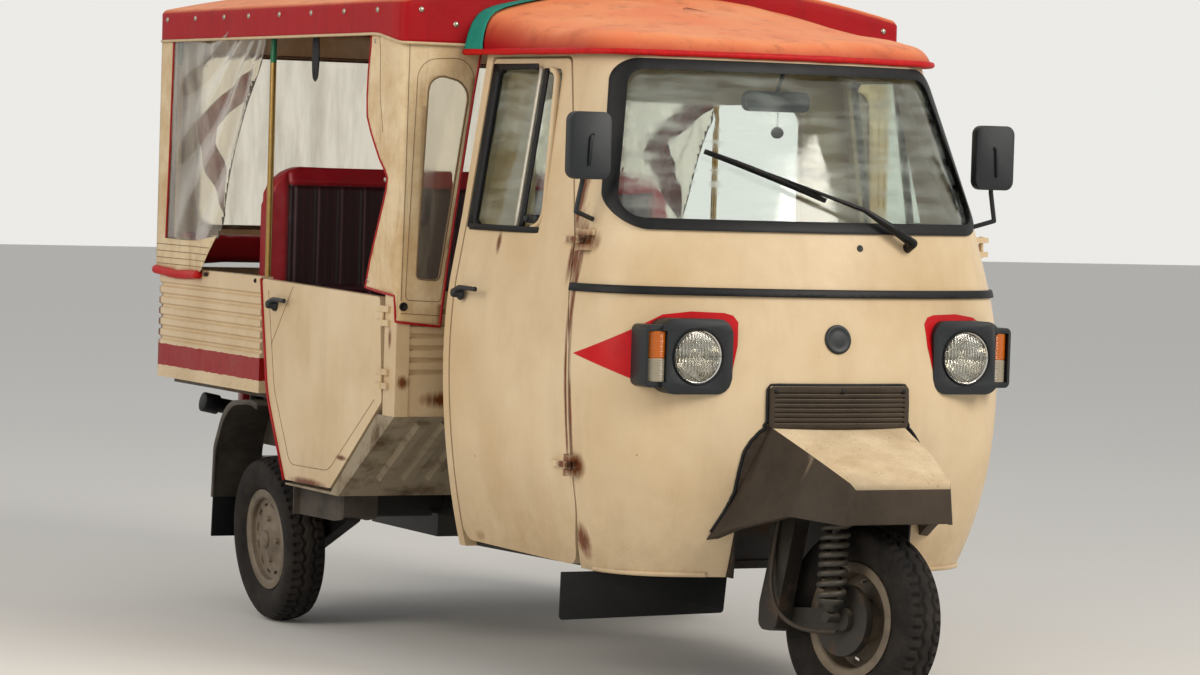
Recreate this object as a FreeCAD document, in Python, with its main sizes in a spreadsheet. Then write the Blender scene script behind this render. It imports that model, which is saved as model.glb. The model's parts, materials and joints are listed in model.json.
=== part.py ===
import FreeCAD, Part
import math
import os
from FreeCAD import Placement, Rotation, Vector

# An auto rickshaw on a three-wheeled light truck base, in millimetres.
# The vehicle faces -Y, +X is its own left side, and the ground is z = 0.
# The origin lies on the ground under the middle of the whole vehicle.

doc = FreeCAD.newDocument("auto_rickshaw")

# Driving sizes: name, value
SIZES = [
    # Wheels and how they stand
    ("front_axle_y", -1360),
    ("wheelbase", 2180),
    ("rear_track_half", 640),
    ("tyre_radius", 235),
    ("tyre_width", 115),
    ("bead_depth", 14),
    ("shoulder_drop", 7),
    ("rim_radius", 142.5),
    ("rim_width", 84),
    ("disc_thick", 5),
    ("hub_radius", 42),
    ("lug_circle", 118),
    ("lug_radius", 8),
    ("axle_radius", 14),
    ("shaft_gap", 0.3),
    ("seat_gap", 0.3),
    ("seam_gap", 0.1),
    ("seam_half", 400),
    ("move_gap", 6),
    ("rear_camber", 4),
    ("steer_rest", 13.8),
    ("rake", 20),
    ("trail", 45),
    ("column_radius", 20),
    ("bar_half", 250),
    # Cab
    ("cab_wall", 28),
    ("cab_low", 325),
    ("belt_height", 1030),
    ("cab_high", 1610),
    ("roof_thick", 30),
    ("door_plan_y", -860),
    ("cab_rear_y", -305),
    ("rear_wall_thick", 30),
    ("door_rear_gap", 7),
    ("hinge_radius", 6),
    ("leaf_reach", 92),
    ("glass_thick", 6),
    ("floor_thick", 20),
    ("arch_half", 252),
    ("arch_high", 665),
    ("arch_sheet", 5),
    ("lamp_x", 383),
    ("lamp_z", 873),
    ("lens_radius", 63),
    ("guard_sheet", 6),
    # Passenger body
    ("bed_front_y", -190),
    ("bed_rear_y", 1570),
    ("bed_half", 740),
    ("board_low", 655),
    ("board_high", 985),
    ("board_thick", 24),
    ("corner_deep", 74),
    ("face_proud", 12),
    ("groove_low", 772),
    ("groove_pitch", 32),
    ("groove_half", 8),
    ("groove_deep", 8),
    ("bed_floor_thick", 15),
    ("well_low", 415),
    ("well_front_y", 166),
    ("well_rear_y", 540),
    ("well_sheet", 20),
    ("gate_rear_y", 751),
    ("rail_half", 280),
    ("rail_deep", 80),
    ("rail_wide", 60),
    # Canopy
    ("eaves_low", 1660),
    ("eaves_high", 1752),
    ("crown_high", 1842),
    ("cloth", 8),
    ("curtain_thick", 5),
    ("tube_radius", 9),
    # Seats
    ("bench_front_y", 490),
    ("bench_deep", 450),
    ("bench_half", 660),
    ("bench_high", 945),
    ("cushion_thick", 140),
    ("back_thick", 70),
    ("back_high", 1310),
]

sheet = doc.addObject("Spreadsheet::Sheet", "Sizes")
for row, (size_name, size_value) in enumerate(SIZES, start=1):
    sheet.set(f"A{row}", size_name)
    sheet.set(f"B{row}", str(size_value))
    sheet.setAlias(f"B{row}", size_name)
doc.recompute()


def mm(size_name):
    return float(sheet.get(size_name))


TINY = 1e-6
ACROSS_X = Rotation(Vector(1, 1, 1), 120)
ACROSS_Y = Rotation(Vector(1, 0, 0), 90)
FULL_TURN = 360
parts = []


# Outlines and solids

def outline(points):
    """Straight edges through the points; a third number rounds that corner."""
    corners = []
    for index, point in enumerate(points):
        here = Vector(point[0], point[1], 0)
        if len(point) < 3:
            corners.append((here, here, here))
            continue
        last = points[index - 1]
        following = points[(index + 1) % len(points)]
        to_last = (Vector(last[0], last[1], 0) - here).normalize()
        to_next = (Vector(following[0], following[1], 0) - here).normalize()
        half = to_last.getAngle(to_next) / 2
        inward = (to_last + to_next).normalize()
        centre = here + inward * (point[2] / math.sin(half))
        reach = point[2] / math.tan(half)
        corners.append((here + to_last * reach, centre - inward * point[2], here + to_next * reach))
    edges = []
    for index, (start, middle, end) in enumerate(corners):
        if (end - start).Length > TINY:
            edges.append(Part.Arc(start, middle, end))
        next_start = corners[(index + 1) % len(corners)][0]
        if (next_start - end).Length > TINY:
            edges.append(Part.LineSegment(end, next_start))
    return edges


def flat_face(points, turn):
    face = Part.Face(Part.Wire([edge.toShape() for edge in outline(points)]))
    face.Placement = Placement(Vector(), turn)
    return face


def prism_x(points, low, high):
    """(y, z) points carried along X."""
    face = flat_face(points, ACROSS_X)
    face.translate(Vector(low, 0, 0))
    return face.extrude(Vector(high - low, 0, 0))


def prism_y(points, low, high):
    """(x, z) points carried along Y."""
    face = flat_face(points, ACROSS_Y)
    face.translate(Vector(0, low, 0))
    return face.extrude(Vector(0, high - low, 0))


def block(x_low, x_high, y_low, y_high, z_low, z_high):
    return Part.makeBox(x_high - x_low, y_high - y_low, z_high - z_low, Vector(x_low, y_low, z_low))


def rod(start, end, radius):
    start = Vector(*start)
    along = Vector(*end) - start
    return Part.makeCylinder(radius, along.Length, start, along)


def bent_rod(points, radius):
    """Straight rods through the points with balls at the bends."""
    solid = rod(points[0], points[1], radius)
    for start, end in zip(points[1:], points[2:]):
        ball = Part.makeSphere(radius, Vector(*start))
        solid = solid.fuse([ball, rod(start, end, radius)])
    return solid.removeSplitter()


def mirrored(shape):
    return shape.mirror(Vector(), Vector(1, 0, 0))


def pair(shape):
    """The shape on the vehicle's right side and its mirror image on the left."""
    return Part.makeCompound([shape, mirrored(shape)])


def rectangle(x_low, x_high, y_low, y_high, radius):
    return [(x_low, y_low, radius), (x_high, y_low, radius), (x_high, y_high, radius), (x_low, y_high,
                                                                                        radius)]


# Document objects

def feature(label, shape, place=None):
    item = doc.addObject("Part::Feature", label)
    item.Label = label
    item.Shape = shape
    if place:
        item.Placement = place
    parts.append(item)
    return item


def new_body(label, place=None):
    body = doc.addObject("PartDesign::Body", label)
    body.Label = label
    if place:
        body.Placement = place
    parts.append(body)
    return body


def sketch_on(body, role, wires, name):
    plane = [item for item in body.Origin.OriginFeatures if item.Role == role][0]
    sketch = body.newObject("Sketcher::SketchObject", name)
    sketch.AttachmentSupport = [(plane, "")]
    sketch.MapMode = "FlatFace"
    for points in wires:
        for edge in outline(points):
            sketch.addGeometry(edge)
    return sketch


def padded(label, role, wires, length, place):
    """A plate: closed outlines on one plane of the body, padded by a size of the sheet."""
    body = new_body(label, place)
    pad = body.newObject("PartDesign::Pad", label + "_pad")
    pad.Profile = sketch_on(body, role, wires, label + "_outline")
    pad.setExpression("Length", length)
    return body


def turned(label, profile, place):
    """A round piece: (along the axle, radius) points turned about the body's X axis."""
    body = new_body(label, place)
    spin = body.newObject("PartDesign::Revolution", label + "_turning")
    sketch = sketch_on(body, "XZ_Plane", [profile], label + "_profile")
    spin.Profile = sketch
    spin.ReferenceAxis = (sketch, ["H_Axis"])
    spin.Angle = FULL_TURN
    return body


# Where the wheels stand

gap = mm("seat_gap")
clear = mm("move_gap")
half_tyre = mm("tyre_width") / 2
flat_half = 0.35 * half_tyre
tread_half = 0.75 * half_tyre
rear_axle_y = mm("front_axle_y") + mm("wheelbase")
camber = math.radians(mm("rear_camber"))
rear_hub_z = mm("tyre_radius") * math.cos(camber) + flat_half * math.sin(camber)

rake = math.radians(mm("rake"))
steer_foot = Vector(0, mm("front_axle_y") - mm("trail"), 0)
steer_line = Vector(0, math.sin(rake), math.cos(rake))
steer_turn = Rotation(steer_line, mm("steer_rest"))
steered = Placement(Vector(), steer_turn, steer_foot)


def front_lowest(hub_z):
    """Height of the steered front tyre's lowest point for a hub height when straight ahead."""
    centre = steered.multVec(Vector(0, mm("front_axle_y"), hub_z))
    axle = steer_turn.multVec(Vector(1, 0, 0))
    return centre.z - mm("tyre_radius") * math.sqrt(1 - axle.z ** 2) - flat_half * abs(axle.z)


lift_rate = front_lowest(1) - front_lowest(0)
front_hub_z = -front_lowest(0) / lift_rate
front_hub = Vector(0, mm("front_axle_y"), front_hub_z)


def on_steer_line(height):
    return steer_foot + steer_line * (height / math.cos(rake))


# Wheels: a tyre and a pressed steel rim, turned about the axle
shoulder = mm("tyre_radius") - mm("shoulder_drop")
bead_half = mm("rim_width") / 2 - mm("disc_thick")
tyre_foot = mm("rim_radius") - mm("bead_depth")
rim_well = tyre_foot - 12


def tyre(label, place):
    bulge = (mm("rim_radius") + shoulder) / 2
    foot_half = bead_half - gap
    right = [(-foot_half, tyre_foot + gap), (-foot_half, mm("rim_radius") + 1), (-half_tyre, bulge),
             (-tread_half, shoulder), (-flat_half, mm("tyre_radius"))]
    left = [(-x, radius) for x, radius in reversed(right)]
    return turned(label, right + left, place)


def rim(label, place, outward):
    """outward is -1 or 1: the side of the local X axis that the dished face looks to."""
    wall = mm("disc_thick")
    half = mm("rim_width") / 2
    bore = mm("axle_radius") + mm("shaft_gap")
    dish = outward * 20
    hub_out = outward * 40
    hub_in = -outward * 25
    profile = [
        (-half, mm("rim_radius")), (-half, rim_well + wall), (-half + wall, rim_well), (dish - wall,
                                                                                        rim_well),
        (dish - wall, mm("hub_radius") + 12), (hub_in, mm("hub_radius")), (hub_in, bore), (hub_out, bore),
        (hub_out, mm("hub_radius") - 12), (dish + wall, mm("hub_radius") + 12), (dish + wall, rim_well),
        (half - wall, rim_well), (half, rim_well + wall), (half, mm("rim_radius")), (half - wall,
                                                                                     mm("rim_radius")),
        (bead_half, tyre_foot), (-bead_half, tyre_foot), (-half + wall, mm("rim_radius")),
    ]
    if outward < 0:
        profile[3:12] = [
            (dish - wall, rim_well), (dish - wall, mm("hub_radius") + 12), (hub_out, mm("hub_radius") - 12),
            (hub_out, bore), (hub_in, bore), (hub_in, mm("hub_radius")), (dish + wall,
                                                                          mm("hub_radius") + 12),
            (dish + wall, rim_well), (half - wall, rim_well),
        ]
    body = turned(label, profile, place)
    doc.recompute()
    face_x = dish + outward * wall
    nut_plane = [item for item in body.Origin.OriginFeatures if item.Role == "YZ_Plane"][0]
    nut_sketch = body.newObject("Sketcher::SketchObject", label + "_nut_outline")
    nut_sketch.AttachmentSupport = [(nut_plane, "")]
    nut_sketch.MapMode = "FlatFace"
    nut_sketch.AttachmentOffset = Placement(Vector(0, 0, face_x - outward), Rotation())
    nut_sketch.addGeometry(Part.Circle(Vector(mm("lug_circle") / 2, 0, 0), Vector(0, 0, 1),
                                       mm("lug_radius")))
    nut = body.newObject("PartDesign::Pad", label + "_nut")
    nut.Profile = nut_sketch
    nut.Length = 13
    nut.Reversed = outward < 0
    doc.recompute()
    ring = body.newObject("PartDesign::PolarPattern", label + "_nuts")
    ring.Originals = [nut]
    ring.Axis = ([item for item in body.Origin.OriginFeatures if item.Role == "X_Axis"][0], [""])
    ring.Angle = FULL_TURN
    ring.Occurrences = 4
    body.Tip = ring
    return body


rear_places = {}
for side, name in ((-1, "right"), (1, "left")):
    lean = Rotation(Vector(0, 1, 0), side * mm("rear_camber"))
    rear_places[name] = Placement(Vector(side * mm("rear_track_half"), rear_axle_y, rear_hub_z), lean)
    tyre("rear_tyre_" + name, rear_places[name])
    rim("rear_rim_" + name, rear_places[name], side)
front_place = steered.multiply(Placement(front_hub, Rotation()))
tyre("front_tyre", front_place)
rim("front_rim", front_place, 1)


# Steering: column, single leg on the right of the wheel, leading link, coil spring and handlebar
leg_x = -112
leg_half = 24
pivot = Vector(leg_x, mm("front_axle_y") + 195, front_hub_z - 15)
crown_z = 545
crown = on_steer_line(crown_z)
bar_z = 975
bar_foot = on_steer_line(bar_z)
bar_back = 75

column = rod(on_steer_line(crown_z - 20), bar_foot, mm("column_radius"))
crown_arm = block(leg_x - leg_half, mm("column_radius"), crown.y - 35, crown.y + 35, crown_z - 45, crown_z)
leg = prism_x(
    [(crown.y - 38, crown_z), (crown.y + 42, crown_z), (crown.y + 48, 420), (pivot.y + 34, pivot.z + 30),
     (pivot.y + 30, pivot.z - 34, 25), (pivot.y - 34, pivot.z - 34, 25), (pivot.y - 42, pivot.z + 60)],
    leg_x - leg_half, leg_x + leg_half)
spring_top = Vector(leg_x, mm("front_axle_y") + 8, crown_z - 30)
spring_arm = prism_x(
    [(spring_top.y - 34, spring_top.z + 30, 12), (crown.y, crown_z), (crown.y, crown_z - 70),
     (spring_top.y + 42, spring_top.z + 1.2), (spring_top.y - 34, spring_top.z + 1.2)],
    leg_x - 16, leg_x + 16)
grips = []
for side in (-1, 1):
    stem_top = (0, bar_foot.y + bar_back, bar_z + 12)
    bend = (side * 120, bar_foot.y + bar_back - 10, bar_z + 30)
    tip = (side * mm("bar_half"), bar_foot.y + bar_back + 45, bar_z + 20)
    grips.append(bent_rod([stem_top, bend, tip], 11))
    grips.append(rod((side * 150, bar_foot.y + bar_back + 0.4, bar_z + 27.7), tip, 16))
stem = bent_rod([tuple(bar_foot), (0, bar_foot.y + bar_back, bar_z + 12)], 18)
fork = column.fuse([crown_arm, leg, spring_arm, stem] + grips).removeSplitter()
feature("fork", fork, steered)

plate_x = -mm("rim_width") / 2 - clear
plate = rod((plate_x, mm("front_axle_y"), front_hub_z), (plate_x - 22, mm("front_axle_y"), front_hub_z), 88)
stub = rod((plate_x - 20, mm("front_axle_y"), front_hub_z), (36, mm("front_axle_y"), front_hub_z),
           mm("axle_radius"))
link_low = front_hub_z - 34
link = prism_x(
    [(mm("front_axle_y") - 40, front_hub_z - 20, 20), (mm("front_axle_y") - 40, front_hub_z + 34, 20),
     (mm("front_axle_y") + 30, front_hub_z + 26), (pivot.y + 22, pivot.z + 22, 18), (pivot.y + 22,
                                                                                     pivot.z - 22, 18),
     (mm("front_axle_y") + 30, link_low)],
    plate_x - 38, plate_x - 18)
pivot_pin = rod((leg_x + leg_half + gap, pivot.y, pivot.z), (plate_x - 20, pivot.y, pivot.z), 16)
spring_low = Vector(leg_x, mm("front_axle_y"), front_hub_z + 6)
lug = rod((plate_x - 36, spring_low.y, spring_low.z), (leg_x - 14, spring_low.y, spring_low.z), 13)
feature("front_link", plate.fuse([stub, link, pivot_pin, lug]).removeSplitter(), steered)

spring_line = spring_top - spring_low
coil_pitch = 21
coil_count = 9
coil_out = 32
coil_in = 22
damper_radius = 14
shock_foot = 13 + gap
shock_top = spring_line.Length - gap
coil_foot = shock_foot + 32
shock_profile = [(damper_radius, shock_foot), (damper_radius, coil_foot - 6), (coil_out, coil_foot - 6),
                 (coil_out, coil_foot)]
for coil in range(coil_count):
    middle = coil_foot + (coil + 0.5) * coil_pitch
    shock_profile += [(coil_in, middle - 8), (coil_out, middle - 4), (coil_out, middle + 4), (coil_in,
                                                                                              middle + 8)]
shock_profile += [(coil_out, shock_top - 6), (coil_out, shock_top), (0, shock_top), (0, shock_foot)]
shock = flat_face(shock_profile, ACROSS_Y).revolve(Vector(), Vector(0, 0, 1), FULL_TURN)
spring_place = Placement(spring_low, Rotation(Vector(0, 0, 1), spring_line))
feature("front_shock", shock, steered.multiply(spring_place))


# Front brake cable, held along the leg and clipped to the brake plate
cable_points = [
    Vector(leg_x - 30.5, crown.y + 12, 530), Vector(leg_x - 31, crown.y + 26, 478), Vector(leg_x - 32,
                                                                                           crown.y + 32, 420),
    Vector(leg_x - 36, crown.y + 30, 362), Vector(leg_x - 44, crown.y + 20, 306), Vector(leg_x - 50,
                                                                                         crown.y - 6, 256),
    Vector(leg_x - 50, crown.y - 50, 222), Vector(leg_x - 36, crown.y - 98, 206), Vector(leg_x - 10,
                                                                                         crown.y - 138, 204),
    Vector(leg_x + 19.5, crown.y - 160, 208),
]
cable_radius = 6


def cord_path(points):
    """Straight runs joined by arcs that are as large as the runs allow."""
    edges = []
    start = points[0]
    for before, here, after in zip(points, points[1:], points[2:]):
        run = min((here - before).Length, (after - here).Length)
        to_before = (before - here).normalize()
        to_after = (after - here).normalize()
        turn = math.pi - to_before.getAngle(to_after)
        radius = 0.45 * run / math.tan(turn / 2)
        reach = radius * math.tan(turn / 2)
        bisector = (to_before + to_after).normalize()
        middle = here + bisector * (radius / math.cos(turn / 2) - radius)
        first = here + to_before * reach
        last = here + to_after * reach
        edges.append(Part.LineSegment(start, first).toShape())
        edges.append(Part.Arc(first, middle, last).toShape())
        start = last
    edges.append(Part.LineSegment(start, points[-1]).toShape())
    return Part.Wire(edges)


cable_path = cord_path(cable_points)
cable_ring = Part.Wire(Part.Circle(cable_points[0], cable_points[1] - cable_points[0],
                                   cable_radius).toShape())
feature("brake_cable", cable_path.makePipeShell([cable_ring], True, False), steered)


# Cab plan sections: height, nose y, half-width at the door's front edge, half-width at the rear,
# corner radius
CAB_LOWER = [
    (mm("cab_low"), -1160, 520, 575, 200),
    (500, -1212, 572, 612, 200),
    (700, -1238, 597, 635, 200),
    (860, -1230, 603, 639, 200),
    (mm("belt_height"), -1195, 592, 625, 200),
]
CAB_UPPER = [
    CAB_LOWER[-1],
    (1186, -1145, 562, 597, 190),
    (mm("cab_high"), -930, 468, 533, 140),
]
NOSE_RADIUS = 1200
cab_back = mm("cab_rear_y") + mm("rear_wall_thick")


def plan_wire(section, inset, back=cab_back):
    """The cab's outline in plan: front arc, two corner arcs, two sides and the rear."""
    height, nose_y, front_half, rear_half, corner = section
    nose_y = nose_y + inset
    nose_radius = NOSE_RADIUS - inset
    corner = corner - inset
    start = Vector(front_half - inset, mm("door_plan_y"), 0)
    along = (Vector(rear_half - inset, mm("cab_rear_y"), 0) - start).normalize()
    inward = Vector(-along.y, along.x, 0)
    nose_centre = Vector(0, nose_y + nose_radius, 0)
    offset = start + inward * corner - nose_centre
    middle = offset.dot(along)
    reach = (nose_radius - corner) ** 2 - offset.dot(offset) + middle ** 2
    centre = start + inward * corner - along * (middle + math.sqrt(reach))
    toward = (centre - nose_centre).normalize()
    on_nose = nose_centre + toward * nose_radius
    on_side = centre - inward * corner
    between = centre + ((on_nose - centre) + (on_side - centre)).normalize() * corner
    rear = start + along * ((back - start.y) / along.y)

    def left(point):
        return Vector(point.x, point.y, height)

    def right(point):
        return Vector(-point.x, point.y, height)

    nose = Vector(0, nose_y, height)
    edges = [
        Part.LineSegment(left(rear), left(on_side)),
        Part.Arc(left(on_side), left(between), left(on_nose)),
        Part.Arc(left(on_nose), nose, right(on_nose)),
        Part.Arc(right(on_nose), right(between), right(on_side)),
        Part.LineSegment(right(on_side), right(rear)),
        Part.LineSegment(right(rear), left(rear)),
    ]
    return Part.Wire([edge.toShape() for edge in edges])


def cab_solid(inset, back=cab_back):
    lower = Part.makeLoft([plan_wire(section, inset, back) for section in CAB_LOWER], True, False)
    upper = Part.makeLoft([plan_wire(section, inset, back) for section in CAB_UPPER], True, True)
    return lower.fuse(upper)


cab_outer = cab_solid(0)
cab_inner = cab_solid(mm("cab_wall"), cab_back + 50)
cab_proud = cab_solid(-gap)
cab_ring = cab_outer.cut(cab_inner)
far_x = 900
far_y = 1700


# Doors: front edge of the right and left door as (y, z), leaning back above the belt
DOOR_FRONT = [(-855, 330, 60), (-921, 480, 200), (-922, 885), (-877, 1144), (-675, 1598, 25)]
door_rear_y = mm("cab_rear_y") - mm("door_rear_gap")
DOOR_OUTLINE = DOOR_FRONT + [(door_rear_y, 1598, 15), (door_rear_y, 345, 40)]
DOOR_HOLE = [
    (-855 - clear, 300), (-921 - clear, 480, 200), (-922 - clear, 885), (-877 - clear, 1144 + clear / 2),
    (-675 - clear, 1598 + clear, 25), (mm("cab_rear_y"), 1598 + clear), (mm("cab_rear_y"), 300),
]
WINDOW = [(-345, 1165, 20), (-700, 1165, 30), (-648, 1572, 20), (-345, 1572, 20)]
door_holes = [prism_x(DOOR_HOLE, -far_x, -200), prism_x(DOOR_HOLE, 200, far_x)]

# Windscreen opening as (x, z)
screen_low = 1192
screen_high = 1588


def screen_outline(grow):
    low = screen_low - grow
    high = screen_high + grow
    return [(-532 - grow, low, 60 + grow), (532 + grow, low, 60 + grow),
            (442 + grow, high, 60 + grow), (-442 - grow, high, 60 + grow)]


front_reach = (-1500, -700)
arch_hole = prism_y(rectangle(-mm("arch_half"), mm("arch_half"), 200, mm("arch_high"), 40), -1400, -900)
screen_hole = prism_y(screen_outline(0), *front_reach)
lamp_x = mm("lamp_x")
lamp_z = mm("lamp_z")
lamp_face_y = -1200
lens_deep = 24
seat_radius = mm("lens_radius") + 6
lens_seat = rod((-lamp_x, lamp_face_y - 100, lamp_z), (-lamp_x, lamp_face_y + lens_deep, lamp_z),
                seat_radius)
bowl_deep = 70
bowl = rod((-lamp_x, lamp_face_y, lamp_z), (-lamp_x, lamp_face_y + bowl_deep, lamp_z), mm("lens_radius"))
lens_seat = lens_seat.fuse(bowl)
cab_front = cab_ring.cut(door_holes + [screen_hole, arch_hole, lens_seat, mirrored(lens_seat)])
cab_front = cab_front.cut(block(-far_x, far_x, mm("cab_rear_y"), far_y, 0, 2000))

# Door hinges: a barrel on the door between two barrels on the pillar
hinge_low = Vector(-601, -930, 589)
hinge_high = Vector(-586, -930, 1147)
hinge_line = (hinge_high - hinge_low).normalize()
barrel = 18


def barrel_at(centre, line, low, high):
    return Part.makeCylinder(mm("hinge_radius"), high - low, centre + line * low, line)


fixed_leaves = []
moving_leaves = []
for centre in (hinge_low, hinge_high):
    skin_x = centre.x + 52
    moving_leaves.append(barrel_at(centre, hinge_line, -barrel / 2, barrel / 2))
    leaf_end = centre.y + mm("leaf_reach")
    moving_leaves.append(block(centre.x - 3, skin_x, centre.y, leaf_end, centre.z - 7, centre.z + 7))
    for low in (-1.5 * barrel - gap, barrel / 2 + gap):
        fixed_leaves.append(barrel_at(centre, hinge_line, low, low + barrel))
        middle_z = centre.z + low + barrel / 2
        fixed_leaves.append(block(centre.x - 3, skin_x - 18, centre.y - 30, centre.y - 1, middle_z - 7,
                                  middle_z + 7))
cab_front = cab_front.fuse(fixed_leaves + [mirrored(leaf) for leaf in fixed_leaves]).removeSplitter()

# The shell is welded from pressings that meet at seams: nose, corners and sills below the belt,
# cowl, header and pillars above it
seam = mm("seam_gap")
seam_x = mm("seam_half")
belt_z = mm("belt_height")
sill_y = -840
rail_y = -620
SPANS = [(-far_x, -seam_x - seam), (-seam_x, seam_x), (seam_x + seam, far_x)]
pressings = []
for span_low, span_high in SPANS:
    pressings.append(cab_front.common(block(span_low, span_high, -far_y, sill_y, 0, belt_z)))
    pressings.append(cab_front.common(block(span_low, span_high, -far_y, rail_y, belt_z + seam, 2000)))
pressings.append(cab_front.common(block(-far_x, far_x, sill_y + seam, far_y, 0, belt_z)))
pressings.append(cab_front.common(block(-far_x, far_x, rail_y + seam, far_y, belt_z + seam, 2000)))
SMALLEST = 1000
shell = [solid for pressing in pressings for solid in pressing.Solids if solid.Volume > SMALLEST]
feature("cab_front", Part.makeCompound(shell))

rear_wall = cab_outer.common(block(-far_x, far_x, mm("cab_rear_y") + gap, far_y, 0, 2000))
rear_window = prism_y(rectangle(-400, 400, 1120, 1500, 50), -400, 0)
feature("cab_rear_wall", rear_wall.cut(rear_window))

roof_section = CAB_UPPER[-1]
roof_low = (mm("cab_high") + gap,) + roof_section[1:]
roof_top = (mm("cab_high") + mm("roof_thick"),) + roof_section[1:]
roof = Part.makeLoft([plan_wire(roof_low, 0), plan_wire(roof_top, 26)], True, True)
feature("cab_roof", roof)

door_slab = prism_x(DOOR_OUTLINE, -far_x, -200)
door_panel = cab_ring.common(door_slab).cut(prism_x(WINDOW, -far_x, -200))
clear_of_pillar = cab_solid(-clear)
for leaf in moving_leaves:
    outside = leaf.cut(clear_of_pillar)
    tongue = leaf.common(door_slab).cut(cab_inner)
    door_panel = door_panel.fuse([outside, tongue])
door_panel = door_panel.removeSplitter()
feature("door_right", door_panel)
feature("door_left", mirrored(door_panel))

GLASS = [(-345 - gap, 1165 + gap, 20), (-700 + gap, 1165 + gap, 30), (-648 + gap, 1572 - gap, 20),
         (-345 - gap, 1572 - gap, 20)]
glass_layer = cab_solid(10).cut(cab_solid(10 + mm("glass_thick")))
door_glass = glass_layer.common(prism_x(GLASS, -far_x, -200))
feature("door_glass_right", door_glass)
feature("door_glass_left", mirrored(door_glass))

handle_seat = 637
handle = rod((-handle_seat + 25, -396, 993), (-handle_seat - 14, -396, 993), 15)
handle_bar = prism_x(rectangle(-404, -290 - 12, 982, 1004, 8), -handle_seat - 30, -handle_seat - 14)
door_handle = handle.fuse(handle_bar).cut(cab_proud)
feature("door_handle_right", door_handle)
feature("door_handle_left", mirrored(door_handle))

# Windscreen glass in its rubber seal
screen = glass_layer.common(prism_y(screen_outline(-6 - gap), *front_reach))
feature("windscreen_glass", screen)
lip = cab_solid(-6).cut(cab_proud)
lip = lip.common(prism_y(screen_outline(14), *front_reach)).cut(prism_y(screen_outline(-14), *front_reach))
web = cab_solid(-6).cut(cab_solid(24))
web = web.common(prism_y(screen_outline(-gap), *front_reach)).cut(prism_y(screen_outline(-6), *front_reach))
feature("windscreen_seal", lip.fuse(web).removeSplitter())

trim_front_y = hinge_low.y + 20
belt = cab_solid(-9).cut(cab_proud)
belt = belt.common(block(-far_x, far_x, -1400, trim_front_y, mm("belt_height") - 10,
                         mm("belt_height") + 10))
feature("belt_trim", belt)


# Cab floor with the wheel arch and the steering head
floor_plate = cab_solid(mm("cab_wall") + clear, mm("cab_rear_y")).common(
    block(-far_x, far_x, -960, mm("cab_rear_y"), mm("cab_low"), mm("cab_low") + mm("floor_thick")))
sheet_mm = mm("arch_sheet")
floor_low = mm("cab_low")
floor_top = floor_low + mm("floor_thick")
arch_skin = prism_x(
    [(-1195, mm("arch_high")), (-1070, mm("arch_high"), 50), (-965, 520, 60), (-945, floor_low), (-951,
                                                                                                  floor_low),
     (-971, 520, 60), (-1073, mm("arch_high") - sheet_mm, 50), (-1195, mm("arch_high") - sheet_mm)],
    -mm("arch_half") + gap, mm("arch_half") - gap)
cheek = prism_x(
    [(-1195, mm("arch_high")), (-1070, mm("arch_high"), 50), (-965, 520, 60), (-945, floor_low), (-1165,
                                                                                                  floor_low)],
    -mm("arch_half") + gap, -mm("arch_half") + gap + sheet_mm)
head_low = on_steer_line(620)
head_high = on_steer_line(850)
head_bore = mm("column_radius") + mm("shaft_gap")
head = rod(head_low, head_high, head_bore + 7)
cab_floor = floor_plate.fuse([arch_skin, cheek, mirrored(cheek), head])
cab_floor = cab_floor.cut([rod(on_steer_line(500), on_steer_line(950), head_bore)]).cut(cab_front)
feature("cab_floor", cab_floor.removeSplitter())

# Dashboard shelf behind the front panel
dash_block = block(-far_x, far_x, -1300, -1060, 1075, 1150)
feature("dashboard", cab_solid(mm("cab_wall") + gap).common(dash_block).cut(door_holes))

# Driver's seat on a box
seat_box = block(-230, 230, -640, -360, floor_top + gap, 610)
seat_pad = prism_x(rectangle(-690, -350, 610, 700, 35), -270, 270)
seat_back = prism_x([(-400, 700), (-345, 700), (-322, 1060, 20), (-372, 1060, 20)], -240, 240)
feature("driver_seat", seat_box.fuse([seat_pad, seat_back]).removeSplitter())


# Front lamps: black housings with a side box for the indicator
housing = prism_y(rectangle(-lamp_x - 100, -lamp_x + 96, lamp_z - 92, lamp_z + 92, 42), lamp_face_y, -950)
side_out = -lamp_x - 138
amber_low = side_out + 7
amber_high = side_out + 52
side_box = prism_y(rectangle(side_out, -lamp_x - 80, lamp_z - 76, lamp_z + 76, 14), lamp_face_y + 12, -900)
side_box = side_box.common(block(-far_x, 0, -far_y, lamp_face_y + 90, 0, 2000))
amber_seat = block(amber_low, amber_high, lamp_face_y, lamp_face_y + 40, lamp_z - 62, lamp_z + 62)
housing = housing.fuse(side_box).cut([cab_proud, lens_seat, amber_seat]).removeSplitter()
feature("lamp_housings", pair(housing))

dome_radius = 150
dome_centre = Vector(-lamp_x, lamp_face_y + dome_radius + 2, lamp_z)
dome = Part.makeSphere(dome_radius, dome_centre)
lens_rim = rod((-lamp_x, lamp_face_y, lamp_z), (-lamp_x, lamp_face_y + lens_deep, lamp_z),
               seat_radius - gap)
head_lens = lens_rim.common(dome)
feature("headlamp_lenses", pair(head_lens))
amber = block(amber_low + gap, amber_high - gap, lamp_face_y + 9, lamp_face_y + 40 - gap,
              lamp_z - 62 + gap, lamp_z + 62 - gap)
feature("indicator_lenses", pair(amber))


# Front mudguard: a wedge shell over the wheel with the ribbed vent panel above it
GUARD = [
    # y, half-width low, half-width high, low z, high z
    (-1150, 318, 196, 420, 712),
    (-1235, 292, 188, 455, 700),
    (-1400, 232, 168, 500, 645),
    (-1535, 150, 140, 487, 590),
    (-1548, 140, 132, 492, 575),
]


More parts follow.
